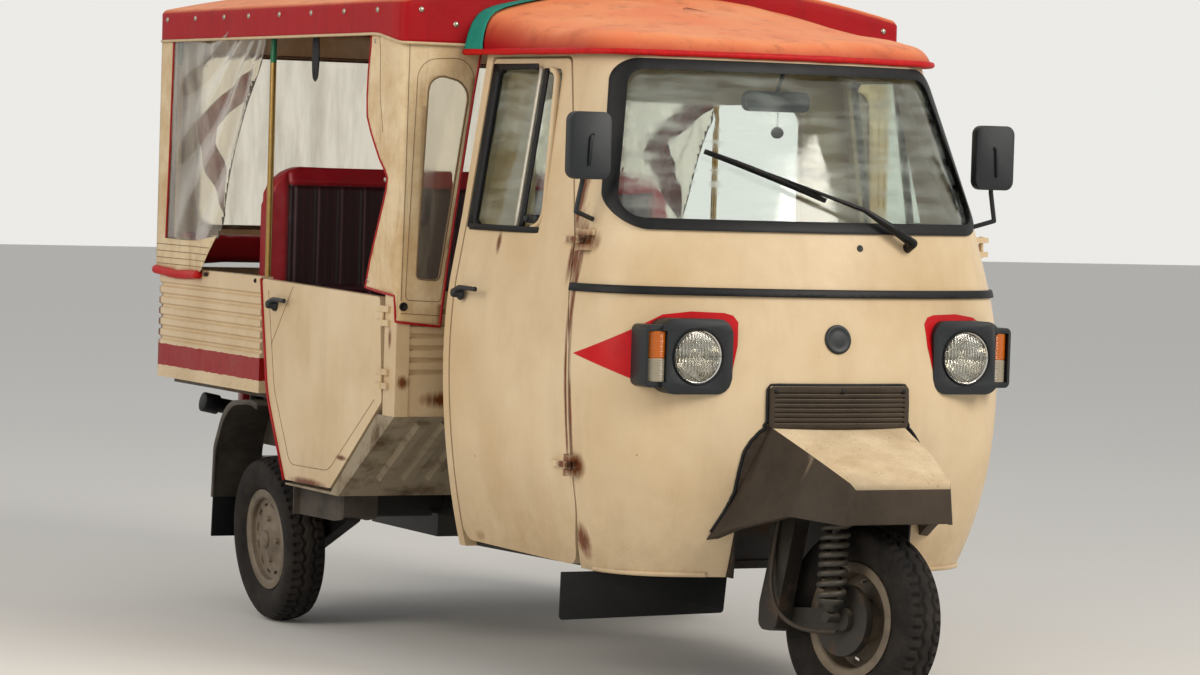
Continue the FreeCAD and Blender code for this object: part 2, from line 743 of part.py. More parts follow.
def guard_wires(inset, drop):
    wires = []
    for y, low_half, high_half, low_z, high_z in GUARD:
        corners = [(-low_half + inset, low_z - drop), (-high_half + inset, high_z - inset),
                   (high_half - inset, high_z - inset), (low_half - inset, low_z - drop)]
        loop = [Vector(x, y + inset, z) for x, z in corners]
        wires.append(Part.makePolygon(loop + loop[:1]))
    return wires


guard_outer = Part.makeLoft(guard_wires(0, 0), True, True)
guard_inner = Part.makeLoft(guard_wires(mm("guard_sheet"), 60), True, True)
guard = guard_outer.cut([guard_inner, cab_proud])
vent = cab_solid(-12).cut(cab_proud)
vent = vent.common(prism_y(rectangle(-197, 197, 700, 803, 8), *front_reach))
slots = []
for slot in range(7):
    slot_low = 712 + slot * 12
    slot_cut = cab_solid(-14).cut(cab_solid(-7))
    slots.append(slot_cut.common(block(-185, 185, -1400, -1100, slot_low, slot_low + 5)))
vent = vent.cut(slots)
feature("front_mudguard", guard.fuse(vent).removeSplitter())

# Wiper: pivot below the windscreen on the left, arm and blade lying on the glass
screen_slope = (CAB_UPPER[2][1] - CAB_UPPER[1][1]) / (CAB_UPPER[2][0] - CAB_UPPER[1][0])


def before_screen(x, height, proud):
    """A point in front of the windscreen's skin."""
    nose_y = CAB_UPPER[1][1] + (height - CAB_UPPER[1][0]) * screen_slope
    return (x, nose_y + x * x / (2 * NOSE_RADIUS) - proud, height)


WIPER_PIVOT = (238, 1158)
wiper_arm = [before_screen(*WIPER_PIVOT, 24), before_screen(107, 1238, 26), before_screen(-140, 1322, 14)]
wiper = bent_rod(wiper_arm, 5)
wiper = wiper.fuse(bent_rod([before_screen(8, 1262, 10), before_screen(-140, 1322, 10),
                             before_screen(-289, 1376, 10)], 5))
wiper = wiper.fuse(rod(before_screen(*WIPER_PIVOT, 30), before_screen(*WIPER_PIVOT, -20), 12))
feature("wiper", wiper.cut(cab_proud).removeSplitter())

# Mirrors: black shells on bent stems, and the mirror inside over the windscreen
mirror_centre = Vector(-585, -972, 1379)
shell = prism_y(rectangle(-mirror_centre.x * -1 - 56, mirror_centre.x + 56, 1296, 1462, 24), -986, -958)
stem_points = [(-545, -935, 1196), (-606, -956, 1216), (-592, -958, 1290), (-588, -966, 1330)]
outside_mirror = shell.fuse(bent_rod(stem_points, 6)).cut(cab_proud).removeSplitter()
inside_mirror = prism_y(rectangle(-95, 95, 1478, 1530, 20), -868, -850)
inside_stem = rod((0, -860, 1520), (0, -908, 1600), 5)
inside_mirror = inside_mirror.fuse(inside_stem).common(cab_solid(mm("cab_wall") + gap))
feature("mirrors", Part.makeCompound([outside_mirror, mirrored(outside_mirror), inside_mirror]))


# Frame: two long rails, cross members and the posts under the bed
rail_in = mm("rail_half") - mm("rail_wide") / 2
rail_out = mm("rail_half") + mm("rail_wide") / 2
frame_rear_y = mm("bed_rear_y") - 40
rail_top = mm("well_low") - gap
rail = block(-rail_out, -rail_in, cab_back + gap, frame_rear_y, rail_top - mm("rail_deep"), rail_top)
members = []
CROSS = [(-235, 540), (mm("well_rear_y") - 110, 520), (1120, 520), (frame_rear_y - 50, 420)]
for member_y, member_half in CROSS:
    members.append(block(-member_half, member_half, member_y, member_y + 50, rail_top - 60, rail_top))
bed_under = mm("board_low") - mm("bed_floor_thick")
posts = []
for post_y in (mm("well_rear_y") + 40, 1125, frame_rear_y - 45):
    for side in (-1, 1):
        centre_x = side * mm("rail_half")
        posts.append(block(centre_x - 25, centre_x + 25, post_y, post_y + 40, rail_top - 20,
                           bed_under - gap))
head_posts = [block(side * 500 - 20, side * 500 + 20, -235, -195, rail_top - 20, mm("board_low") + 60)
              for side in (-1, 1)]
spine = block(-60, 60, cab_back + gap, -180, rail_top - mm("rail_deep"), rail_top)
frame_shape = rail.fuse([mirrored(rail), spine] + members + posts + head_posts).removeSplitter()
tow_z = rail_top - 30
tow_holes = []
for hole_x in (-80, 80):
    for hole_z in (tow_z - 15, tow_z + 15):
        tow_holes.append(rod((hole_x, frame_rear_y - 60, hole_z), (hole_x, frame_rear_y + 10, hole_z), 5.5))
frame_shape = frame_shape.cut(tow_holes)
feature("chassis_frame", frame_shape)

engine = doc.addObject("Part::Box", "engine_block")
engine.Label = "engine_block"
engine.setExpression("Length", "(2 * Sizes.rail_half - Sizes.rail_wide - 60) * 1mm")
engine.Width = 1120 - gap - (rear_axle_y - 170)
engine.Height = 290
engine.Placement = Placement(Vector(30 - rail_in, rear_axle_y - 170, 250), Rotation())
parts.append(engine)

# Rear suspension: trailing arms, stub axles, half shafts and coil springs
rear_side = []
place = rear_places["right"]
axle_line = place.Rotation.multVec(Vector(-1, 0, 0))
hub = place.Base
axle_tip = hub + axle_line * 34
axle_root = hub - axle_line * 150
arm_plate = prism_x(
    [(hub.y - 330, hub.z + 80, 25), (hub.y - 330, hub.z + 140, 25), (hub.y + 20, hub.z + 45, 20),
     (hub.y + 45, hub.z - 30, 20), (hub.y - 30, hub.z - 42, 20)],
    hub.x + 72, hub.x + 112)
rear_side.append(arm_plate)
rear_side.append(Part.makeCylinder(mm("axle_radius"), (axle_tip - axle_root).Length, axle_root, axle_line))
rear_side.append(Part.makeCylinder(60, 24, hub - axle_line * 76, axle_line))
rear_side.append(rod((hub.x + 60, hub.y - 310, hub.z + 110), (-rail_out - gap, hub.y - 310, hub.z + 110),
                     22))
rear_side.append(rod((hub.x + 96, hub.y + 10, hub.z + 30), (hub.x + 96, hub.y + 10, bed_under - gap), 16))
rear_side.append(rod((hub.x + 96, hub.y + 10, hub.z + 80), (hub.x + 96, hub.y + 10, bed_under - 60), 30))
right_arm = rear_side[0].fuse(rear_side[1:]).removeSplitter()
feature("rear_suspension", pair(right_arm))


# Passenger body: ribbed boards, floor and dropped footwell
board_out = mm("bed_half")
panel_out = board_out - mm("face_proud")
panel_in = panel_out - mm("board_thick")


GROOVES = 6


def ribbed_profile():
    """(outward, z) section of a board: grooves leave five ribs between the plain foot and the plain top."""
    half = mm("groove_half")
    bottom = board_out - mm("groove_deep")
    points = [(panel_in, mm("board_low")), (board_out, mm("board_low"))]
    for number in range(GROOVES):
        middle = mm("groove_low") + number * mm("groove_pitch")
        points += [(board_out, middle - half), (bottom, middle - half / 3), (bottom, middle + half / 3),
                   (board_out, middle + half)]
    points += [(board_out, mm("board_high")), (panel_in, mm("board_high"))]
    return points


right_profile = [(-x, z) for x, z in ribbed_profile()]
right_board = prism_y(right_profile, mm("gate_rear_y") + clear, mm("bed_rear_y"))
left_board = prism_y(ribbed_profile(), mm("bed_front_y") + mm("corner_deep") + gap, mm("bed_rear_y"))
feature("side_boards", Part.makeCompound([right_board, left_board]))

head_profile = [(mm("bed_front_y") + board_out - out, z) for out, z in ribbed_profile()]
headboard = prism_x(head_profile, -panel_in, panel_in)
corner_post = block(-board_out, -panel_in + 2, mm("bed_front_y") - 3, mm("bed_front_y") + mm("corner_deep"),
                    mm("board_low"), mm("board_high"))
side_hinge = Vector(-board_out - mm("hinge_radius"), mm("bed_front_y") + mm("corner_deep") + 4, 0)
z_line = Vector(0, 0, 1)
post_leaves = []
side_leaves = []
for hinge_z in (751, 917):
    centre = side_hinge + z_line * hinge_z
    side_leaves.append(barrel_at(centre, z_line, -barrel / 2, barrel / 2))
    side_leaves.append(block(centre.x - 2, 2 - board_out, centre.y, centre.y + 46, hinge_z - 8,
                             hinge_z + 8))
    for low in (-1.5 * barrel - gap, barrel / 2 + gap):
        post_leaves.append(barrel_at(centre, z_line, low, low + barrel))
        post_leaves.append(block(centre.x - 2, 2 - board_out, centre.y - 40, centre.y,
                                 hinge_z + low + 1, hinge_z + low + barrel - 1))
feature("headboard", headboard.fuse([corner_post, mirrored(corner_post)] + post_leaves).removeSplitter())

gate_half = panel_in - clear
gate_y = mm("bed_rear_y")
gate_profile = [(gate_y - board_out + out, z) for out, z in ribbed_profile()]
tailgate = prism_x(gate_profile, -gate_half, gate_half)
GATE_HINGES = (-480, 0, 480)
gate_hinge_y = gate_y + mm("hinge_radius")
gate_hinge_z = mm("board_low") - 11
x_line = Vector(1, 0, 0)
gate_leaves = []
floor_leaves = []
for hinge_x in GATE_HINGES:
    centre = Vector(hinge_x, gate_hinge_y, gate_hinge_z)
    gate_leaves.append(barrel_at(centre, x_line, -25, 25))
    gate_leaves.append(block(hinge_x - 24, hinge_x + 24, gate_y - 14, gate_hinge_y + 2, gate_hinge_z, 705))
    for low in (-25 - gap - barrel, 25 + gap):
        floor_leaves.append(barrel_at(centre, x_line, low, low + barrel))
        floor_leaves.append(block(hinge_x + low, hinge_x + low + barrel, gate_y - 60, gate_hinge_y,
                                  gate_hinge_z - 6, gate_hinge_z))
feature("tailgate", tailgate.fuse(gate_leaves).removeSplitter())

bed_floor = block(-panel_in + gap, panel_in - gap, mm("well_rear_y"), mm("bed_rear_y") - 48, bed_under,
                  mm("board_low"))
bench_base_top = mm("bench_high") - mm("cushion_thick")
base_outer = block(-mm("bench_half") + 20, mm("bench_half") - 20, mm("bench_front_y") + 60,
                   mm("bench_front_y") + mm("bench_deep") + mm("back_thick"), mm("board_low"), bench_base_top)
base_inner = block(-mm("bench_half") + 40, mm("bench_half") - 40, mm("bench_front_y") + 80,
                   mm("bench_front_y") + mm("bench_deep") + 50, mm("board_low"), bench_base_top - 15)
feature("bed_floor", bed_floor.fuse([base_outer.cut(base_inner)] + floor_leaves).removeSplitter())

# Footwell: slope from the headboard down to a flat floor and a riser up to the bed floor
well_sheet = mm("well_sheet")
slope_top = (mm("bed_front_y") - 3, mm("board_low") - gap)
slope_low = (mm("well_front_y"), mm("well_low"))
WELL = [
    slope_top, slope_low, (mm("well_rear_y"), mm("well_low")), (mm("well_rear_y"), mm("board_low") - gap),
    (mm("well_rear_y") - well_sheet, mm("board_low") - gap), (mm("well_rear_y") - well_sheet,
                                                              mm("well_low") + well_sheet),
    (mm("well_front_y") + 10, mm("well_low") + well_sheet), (slope_top[0] + 36, slope_top[1]),
]
well_side = board_out - mm("board_thick") - clear
well = prism_x(WELL, -well_side, well_side)
slope_run = Vector(0, slope_low[0] - slope_top[0], slope_low[1] - slope_top[1])
slope_out = Vector(0, slope_run.z, -slope_run.y).normalize()
rib_start = Vector(0, slope_top[0], slope_top[1]) + slope_run * 0.06
rib_run = slope_run * 0.70
slope_ribs = []
rib_count = 19
for number in range(rib_count):
    rib_x = (number - (rib_count - 1) / 2) * 72
    base = [Vector(rib_x - 20, 0, 0), Vector(rib_x - 12, 0, 0) + slope_out * 14,
            Vector(rib_x + 12, 0, 0) + slope_out * 14, Vector(rib_x + 20, 0, 0)]
    base = [point + rib_start for point in base]
    slope_ribs.append(Part.Face(Part.makePolygon(base + base[:1])).extrude(rib_run))
cheek_low = [(mm("bed_front_y") + mm("corner_deep"), mm("board_low") - gap), slope_top, slope_low,
             (mm("well_rear_y"), mm("well_low")), (680, mm("board_low") - gap)]
left_cheek = prism_x(cheek_low, well_side, board_out)
GATE = [(mm("gate_rear_y"), 980, 12), (-80, 965, 12), (-108, 689, 12), (223, 432, 14), (543, 428, 14),
        (686, 660, 20)]
strip = prism_x([slope_top, slope_low, (mm("well_rear_y"), mm("well_low")),
                 (mm("well_rear_y"), mm("well_low") + 5), (223 - clear, 432 - clear - 4),
                 (-74 - clear, mm("board_low") - gap)],
                -board_out, -well_side)
feature("footwell", well.fuse(slope_ribs + [left_cheek, strip]).removeSplitter())

# Passenger door: a flat plate on the right with its hinges at the front edge
gate_plate = prism_x(GATE, -board_out, mm("board_thick") - board_out)
feature("passenger_door", gate_plate.fuse(side_leaves).removeSplitter())
gate_handle = rod((-board_out - gap, 640, 925), (-board_out - 18, 640, 925), 12)
gate_handle = gate_handle.fuse(prism_x(rectangle(632, 720, 914, 936, 9), -board_out - 30, -board_out - 18))
feature("passenger_door_handle", gate_handle.removeSplitter())


# Rear mudguards, flaps and fuel filler
GUARD_ARC = [(548, 318), (548, 440, 30), (640, 600, 80), (800, 634, 200), (1000, 618, 160), (1085, 480,
                                                                                             60), (1095, 330)]
guard_in_x = -592
guard_out_x = -board_out - 4
shift = rear_axle_y - 820
outer_arc = [(p[0] + shift,) + p[1:] for p in GUARD_ARC]
centre_y = rear_axle_y
inner_arc = []
for point in outer_arc:
    side = 1 if point[0] < centre_y else -1
    drop = 0 if point[1] < 400 else 5
    inner_arc.append((point[0] + side * 5, point[1] - drop) + point[2:])
outer_band = prism_x(outer_arc, guard_out_x, guard_in_x)
inner_band = prism_x(inner_arc, guard_out_x + 5, guard_in_x + 5)
lip_cut = prism_x([(p[0] + (14 if p[0] < centre_y else -14),
                    p[1] - (14 if p[1] > 400 else 0)) + p[2:] for p in outer_arc],
                  guard_out_x - 5, guard_out_x + 10)
rear_guard = outer_band.cut([inner_band, lip_cut])
low_cut = block(guard_out_x - 5, guard_in_x + 6, centre_y - 400, centre_y + 400, 200, 331)
door_room = block(guard_out_x - 5, -well_side, 400, mm("gate_rear_y") + clear, 300, 700)
guard_bracket = block(-680, -620, centre_y - 30, centre_y + 30, 610, bed_under - gap).cut(inner_band)
skirt = prism_x([(235, 345, 20), (235, mm("well_low") - gap), (553, mm("well_low") - gap), (553, 331),
                 (300, 335)],
                guard_in_x - 100, guard_in_x)
skirt = skirt.cut(block(guard_in_x - 95, guard_in_x - 5, 240, 560, 300, mm("well_low") - 5))
rear_guard = rear_guard.cut([low_cut, door_room]).fuse([guard_bracket, skirt]).removeSplitter()
feature("rear_mudguards", pair(rear_guard))

FLAP = [(1086.5, 470), (1095.6, 330), (1103.3, 215), (1109.3, 215), (1101.6, 330), (1092.5, 470)]
rear_flap = prism_x([(y + shift, z) for y, z in FLAP], guard_out_x + 8, guard_in_x)
front_flap = prism_y([(-610, floor_low - gap), (-140, floor_low - gap), (-150, 212, 10), (-612, 205, 10)],
                     -942, -938)
feature("mud_flaps", Part.makeCompound([rear_flap, mirrored(rear_flap), front_flap, mirrored(front_flap)]))

filler_y = 1310
filler = bent_rod([(-520, filler_y, bed_under - gap), (-520, filler_y, 560), (-650, filler_y, 585)], 22)
filler = filler.fuse(rod((-645, filler_y, 584), (-694, filler_y, 594), 29))
feature("fuel_filler", filler.removeSplitter())

lamp_rear_y = mm("bed_rear_y") - 52
lamp_top_z = bed_under - 2 - gap
lamp_block = prism_y(rectangle(-500, -370, bed_under - 62, lamp_top_z, 8), lamp_rear_y - 42, lamp_rear_y)
feature("tail_lamps", pair(lamp_block))


# Canopy: posts, rails and bows, roof cloth and curtains
post_x = panel_out - 14
post_foot = mm("board_high") + gap
curtain_x = board_out + gap
curtain_front_y = mm("bed_front_y") - 3 - gap
curtain_rear_y = mm("bed_rear_y") + 4
cloth = mm("cloth")
canopy_half = curtain_x + mm("curtain_thick") + gap + cloth
canopy_front_y = curtain_front_y - mm("curtain_thick") - gap - cloth
canopy_rear_y = curtain_rear_y + mm("curtain_thick") + gap + cloth
crown_rise = mm("crown_high") - mm("eaves_high")
inner_half = canopy_half - cloth
inner_radius = (inner_half ** 2 + crown_rise ** 2) / (2 * crown_rise)
bow_radius = inner_radius - mm("tube_radius") - gap
crown_centre_z = mm("crown_high") - cloth - inner_radius
rail_z = crown_centre_z + math.sqrt(bow_radius ** 2 - post_x ** 2)
post_top = rail_z - mm("tube_radius")
POST_Y = [mm("bed_front_y") + 30, mm("gate_rear_y") + 22, mm("bed_rear_y") - 60]
post_rods = []
for post_y in POST_Y:
    for side in (-1, 1):
        post_rods.append(rod((side * post_x, post_y, post_foot), (side * post_x, post_y, post_top - gap),
                             mm("tube_radius")))
feature("canopy_posts", Part.makeCompound(post_rods))

long_rail = rod((-post_x, canopy_front_y + 20, rail_z), (-post_x, canopy_rear_y - 20, rail_z),
                mm("tube_radius"))
bow_rise = crown_centre_z + bow_radius - rail_z
bows = []
for post_y in POST_Y:
    bow_path = Part.Wire(Part.Arc(Vector(-post_x, post_y, rail_z), Vector(0, post_y, rail_z + bow_rise),
                                  Vector(post_x, post_y, rail_z)).toShape())
    tangent = bow_path.Edges[0].tangentAt(bow_path.Edges[0].FirstParameter)
    bow_ring = Part.Wire(Part.Circle(Vector(-post_x, post_y, rail_z), tangent, mm("tube_radius")).toShape())
    bows.append(bow_path.makePipeShell([bow_ring], True, False))
feature("canopy_rails", long_rail.fuse([mirrored(long_rail)] + bows).removeSplitter())


def canopy_section(inset, low):
    half = canopy_half - inset
    high = mm("eaves_high") - inset
    crown_z = mm("crown_high") - inset
    start = Vector(-half, 0, high)
    end = Vector(half, 0, high)
    edges = [
        Part.LineSegment(Vector(half, 0, low), Vector(-half, 0, low)),
        Part.LineSegment(Vector(-half, 0, low), start),
        Part.Arc(start, Vector(0, 0, crown_z), end),
        Part.LineSegment(end, Vector(half, 0, low)),
    ]
    return Part.Face(Part.Wire([edge.toShape() for edge in edges]))


roof_outer = canopy_section(0, mm("eaves_low")).extrude(Vector(0, canopy_rear_y - canopy_front_y, 0))
roof_outer.translate(Vector(0, canopy_front_y, 0))
inner_long = canopy_rear_y - canopy_front_y - 2 * cloth
roof_inner = canopy_section(cloth, mm("eaves_low") - 5).extrude(Vector(0, inner_long, 0))
roof_inner.translate(Vector(0, canopy_front_y + cloth, 0))
feature("canopy_roof", roof_outer.cut(roof_inner))

# Cab canvas: hem round the cab roof, sloping up to the canopy
CANVAS = [
    # y, half-width, low z, edge z, crown z
    (-960, 470, 1604, 1652, 1668),
    (-600, 515, 1604, 1668, 1702),
    (canopy_front_y - gap, 560, 1604, 1712, 1786),
]


def canvas_wires(inset, drop):
    wires = []
    for y, half, low, edge, crown_z in CANVAS:
        start = Vector(-half + inset, y, edge - inset)
        end = Vector(half - inset, y, edge - inset)
        edges = [
            Part.LineSegment(Vector(half - inset, y, low - drop), Vector(-half + inset, y, low - drop)),
            Part.LineSegment(Vector(-half + inset, y, low - drop), start),
            Part.Arc(start, Vector(0, y, crown_z - inset), end),
            Part.LineSegment(end, Vector(half - inset, y, low - drop)),
        ]
        wires.append(Part.Wire([edge.toShape() for edge in edges]))
    return wires


canvas = Part.makeLoft(canvas_wires(0, 0), True, True)
hem_plan = Part.Face(plan_wire(roof_section, -14, canopy_front_y)).extrude(Vector(0, 0, 300))
hem_plan.translate(Vector(0, 0, -50))
canvas = canvas.common(hem_plan)
canvas_void = Part.makeLoft(canvas_wires(cloth, 40), True, True)
void_plan = Part.Face(plan_wire(roof_section, -14 + cloth, canopy_front_y + 50)).extrude(Vector(0, 0, 300))
void_plan.translate(Vector(0, 0, -50))
canvas_void = canvas_void.common(void_plan)
feature("cab_canvas", canvas.cut(canvas_void).cut([cab_proud, roof]))

# Curtains: front panels with a window, side flaps, rear sides and back
curtain_top = mm("eaves_low") + 40
curtain_thick = mm("curtain_thick")
curtain_out = curtain_x + curtain_thick
front_panel = prism_y([(-curtain_out, 900), (-400, 900), (-400, curtain_top), (-curtain_out, curtain_top)],
                      curtain_front_y - curtain_thick, curtain_front_y)
panel_window = prism_y(rectangle(-690, -510, 1015, 1560, 40), -400, 0)
front_panel = front_panel.cut(panel_window)
flap_front_y = curtain_front_y - curtain_thick
side_flap = prism_x([(flap_front_y, 1000), (-60, 1000, 20), (-20, 1250), (-70, 1450), (0, curtain_top),
                     (flap_front_y, curtain_top)], -curtain_out, -curtain_x)
front_curtain = front_panel.fuse(side_flap.common(block(-far_x, 0, -far_y, far_y, 900, curtain_top)))
feature("front_curtains", pair(front_curtain.removeSplitter()))

rear_side_curtain = prism_x(
    [(curtain_rear_y + curtain_thick, 930), (1250, 930, 30), (1180, 1010), (800, curtain_top),
     (curtain_rear_y + curtain_thick, curtain_top)], -curtain_out, -curtain_x)
back_curtain = block(-curtain_out, curtain_out, curtain_rear_y, curtain_rear_y + curtain_thick, 1000,
                     curtain_top)
feature("rear_curtains", rear_side_curtain.fuse([mirrored(rear_side_curtain),
                                                 back_curtain]).removeSplitter())


# Passenger bench and the padded panel at the tail
cushion_section = rectangle(0, mm("bench_deep") - gap, 0, mm("cushion_thick") - gap, 40)
padded("bench_cushion", "YZ_Plane", [cushion_section], "2 * Sizes.bench_half * 1mm",
       Placement(Vector(-mm("bench_half"), mm("bench_front_y"), bench_base_top + gap), Rotation()))
back_tall = mm("back_high") - bench_base_top - gap
back_outline = [(-mm("bench_half"), 0), (mm("bench_half"), 0), (mm("bench_half"), back_tall, 120),
                (-mm("bench_half"), back_tall, 120)]
back_y = mm("bench_front_y") + mm("bench_deep")
padded("bench_back", "XZ_Plane", [back_outline], "Sizes.back_thick * 1mm",
       Placement(Vector(0, back_y + mm("back_thick"), bench_base_top + gap), Rotation()))
tail_half = post_x - mm("tube_radius") - gap
tail_thick = 40
tail_outline = rectangle(-tail_half, tail_half, mm("board_high") + clear, 1092, 20)
padded("tail_pad", "XZ_Plane", [tail_outline], "(Sizes.board_thick + 16) * 1mm",
       Placement(Vector(0, POST_Y[2] + tail_thick / 2, 0), Rotation()))


# Check and write every piece
doc.recompute()
for item in doc.Objects:
    if "Invalid" in item.State or "Error" in item.State:
        raise RuntimeError("failed object: " + item.Label)
os.makedirs("parts", exist_ok=True)
for item in parts:
    shape = item.Shape
    if shape.isNull() or not shape.isValid() or not shape.Solids:
        raise RuntimeError("bad shape: " + item.Label)
    shape.exportStep("parts/" + item.Label + ".step")
print(len(parts), "pieces written")
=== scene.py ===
import json
import math

import bmesh
import bpy
from mathutils import Matrix, Vector, noise
from mathutils.bvhtree import BVHTree

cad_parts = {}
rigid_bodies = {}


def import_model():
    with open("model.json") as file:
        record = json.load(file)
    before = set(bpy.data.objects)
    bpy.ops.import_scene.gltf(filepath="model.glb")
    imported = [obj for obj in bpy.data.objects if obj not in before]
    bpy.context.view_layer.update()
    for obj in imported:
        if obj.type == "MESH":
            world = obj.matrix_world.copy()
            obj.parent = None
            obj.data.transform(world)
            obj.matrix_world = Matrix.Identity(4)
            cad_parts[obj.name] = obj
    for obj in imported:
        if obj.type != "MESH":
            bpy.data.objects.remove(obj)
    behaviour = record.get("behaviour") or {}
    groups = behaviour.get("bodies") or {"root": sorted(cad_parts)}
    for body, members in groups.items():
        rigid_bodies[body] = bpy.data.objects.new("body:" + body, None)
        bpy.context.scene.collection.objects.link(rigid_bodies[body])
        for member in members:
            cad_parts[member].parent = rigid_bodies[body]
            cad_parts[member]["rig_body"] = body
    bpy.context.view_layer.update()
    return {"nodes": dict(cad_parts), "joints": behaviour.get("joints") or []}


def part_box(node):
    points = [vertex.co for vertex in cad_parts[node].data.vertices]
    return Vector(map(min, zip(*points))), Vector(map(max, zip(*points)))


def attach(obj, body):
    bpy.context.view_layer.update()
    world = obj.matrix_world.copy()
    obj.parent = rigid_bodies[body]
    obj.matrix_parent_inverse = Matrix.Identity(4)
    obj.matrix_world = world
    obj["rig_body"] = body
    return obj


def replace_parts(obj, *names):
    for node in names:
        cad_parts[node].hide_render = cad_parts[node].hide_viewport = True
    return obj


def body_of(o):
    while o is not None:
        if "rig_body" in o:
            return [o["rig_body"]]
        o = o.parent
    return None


# An auto rickshaw: a three-wheeled light truck with a steel cab, carrying a canvas-topped passenger body.
# Metres, +Z up, the vehicle faces -Y and +X is its own left side.

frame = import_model()
cad = frame["nodes"]
joints = {joint["name"]: joint for joint in frame["joints"]}


# The view and the light
# The photograph was taken from about ten metres off the vehicle's right front corner, at head height.
# It stands here on a plain pale floor in soft light from the upper right.

scene = bpy.context.scene
scene.view_settings.view_transform = "Standard"

PHOTO_WIDTH = 1200
FOCAL_PIXELS = 4000
SENSOR = 36
view_from = Vector((-4.987, -9.762, 1.349))
view_yaw, view_pitch, view_roll = (math.radians(angle) for angle in (26.85, -2.57, 1.72))

camera_data = bpy.data.cameras.new("camera")
camera_data.sensor_width = SENSOR
camera_data.lens = FOCAL_PIXELS / PHOTO_WIDTH * SENSOR
camera_data.clip_end = 200
camera = bpy.data.objects.new("camera", camera_data)
scene.collection.objects.link(camera)
camera.matrix_world = (Matrix.Translation(view_from) @ Matrix.Rotation(-view_yaw, 4, "Z")
                       @ Matrix.Rotation(math.pi / 2 + view_pitch, 4, "X") @ Matrix.Rotation(view_roll, 4, "Z"))
scene.camera = camera


def colour(hex_code):
    """An sRGB hex colour as linear red, green, blue and a full alpha."""
    shares = [int(hex_code[place:place + 2], 16) / 255 for place in (1, 3, 5)]
    return [share / 12.92 if share <= 0.04045 else ((share + 0.055) / 1.055) ** 2.4 for share in shares] + [1.0]


def feed(node, *values, **named):
    """Gives a node's inputs, in order or by name, a number, a hex colour, or the node or socket that drives them."""
    for key, value in [*enumerate(values), *named.items()]:
        socket = node.inputs[key if isinstance(key, int) else key.replace("_", " ")]
        if isinstance(value, bpy.types.Node):
            value = value.outputs[0]
        if isinstance(value, bpy.types.NodeSocket):
            node.id_data.links.new(value, socket)
        else:
            socket.default_value = colour(value) if isinstance(value, str) else value


def add(tree, kind, *values, **named):
    """Adds a shader node: capitalised names are inputs, as feed takes them, and the others are its settings."""
    made = tree.nodes.new("ShaderNode" + kind)
    for name, value in named.items():
        if name.islower():
            setattr(made, name, value)
    feed(made, *values, **{name: value for name, value in named.items() if not name.islower()})
    return made


slot_of = {}


def finish_of(name, slot=None, **inputs):
    """A new finish for a material slot of the record: the material, its node tree and its Principled shader."""
    material = bpy.data.materials.new(name)
    material.use_nodes = True
    slot_of[name] = slot
    shader = material.node_tree.nodes["Principled BSDF"]
    feed(shader, **inputs)
    return material, material.node_tree, shader


def cover(made, material):
    """Gives an object one finish in place of what it has."""
    made.data.materials.clear()
    made.data.materials.append(material)


def lay(material, *names):
    """Puts a finish on CAD nodes in place of the plain one."""
    for name in names:
        cover(cad[name], material)


world = bpy.data.worlds.new("studio")
scene.world = world
world.use_nodes = True
sky = world.node_tree
sky.nodes.clear()
path = add(sky, "LightPath")
seen = add(sky, "Math", path.outputs["Is Camera Ray"], path.outputs["Is Glossy Ray"], operation="MAXIMUM")
seen = add(sky, "Math", seen, path.outputs["Is Transmission Ray"], operation="MAXIMUM")
soft_light = add(sky, "Background", "#F4F6FA", 0.55)
pale_room = add(sky, "Background", "#F1F0EC", 0.95)
add(sky, "OutputWorld", add(sky, "MixShader", seen, soft_light, pale_room))

for lamp_name, stands, size, watts, tint in (
        ("key", (3.2, -6.5, 5.5), 3.5, 400, "#FFF8EE"),
        ("side", (-7.5, -2.0, 4.0), 4.0, 250, "#FFF6EA")):
    lamp = bpy.data.lights.new(lamp_name, "AREA")
    lamp.size = size
    lamp.energy = watts
    lamp.color = colour(tint)[:3]
    lamp_object = bpy.data.objects.new(lamp_name, lamp)
    scene.collection.objects.link(lamp_object)
    lamp_object.location = stands
    lamp_object.rotation_euler = (Vector((0, 0, 0.8)) - Vector(stands)).to_track_quat("-Z", "Y").to_euler()

FLOOR_HALF = 40
floor_mesh = bpy.data.meshes.new("floor")
floor_mesh.from_pydata([(x * FLOOR_HALF, y * FLOOR_HALF, 0) for x, y in ((-1, -1), (1, -1), (1, 1), (-1, 1))], [],
                       [(0, 1, 2, 3)])
floor = bpy.data.objects.new("floor", floor_mesh)
scene.collection.objects.link(floor)
cover(floor, finish_of("pale_floor", Base_Color="#E4E1DA", Roughness=0.9)[0])


# Underbody
# The frame is two box rails of pressed steel with welded cross members, painted black and long since dull.
# The suspension arms and axles are bare or painted steel, covered in road dust, grease and rust.

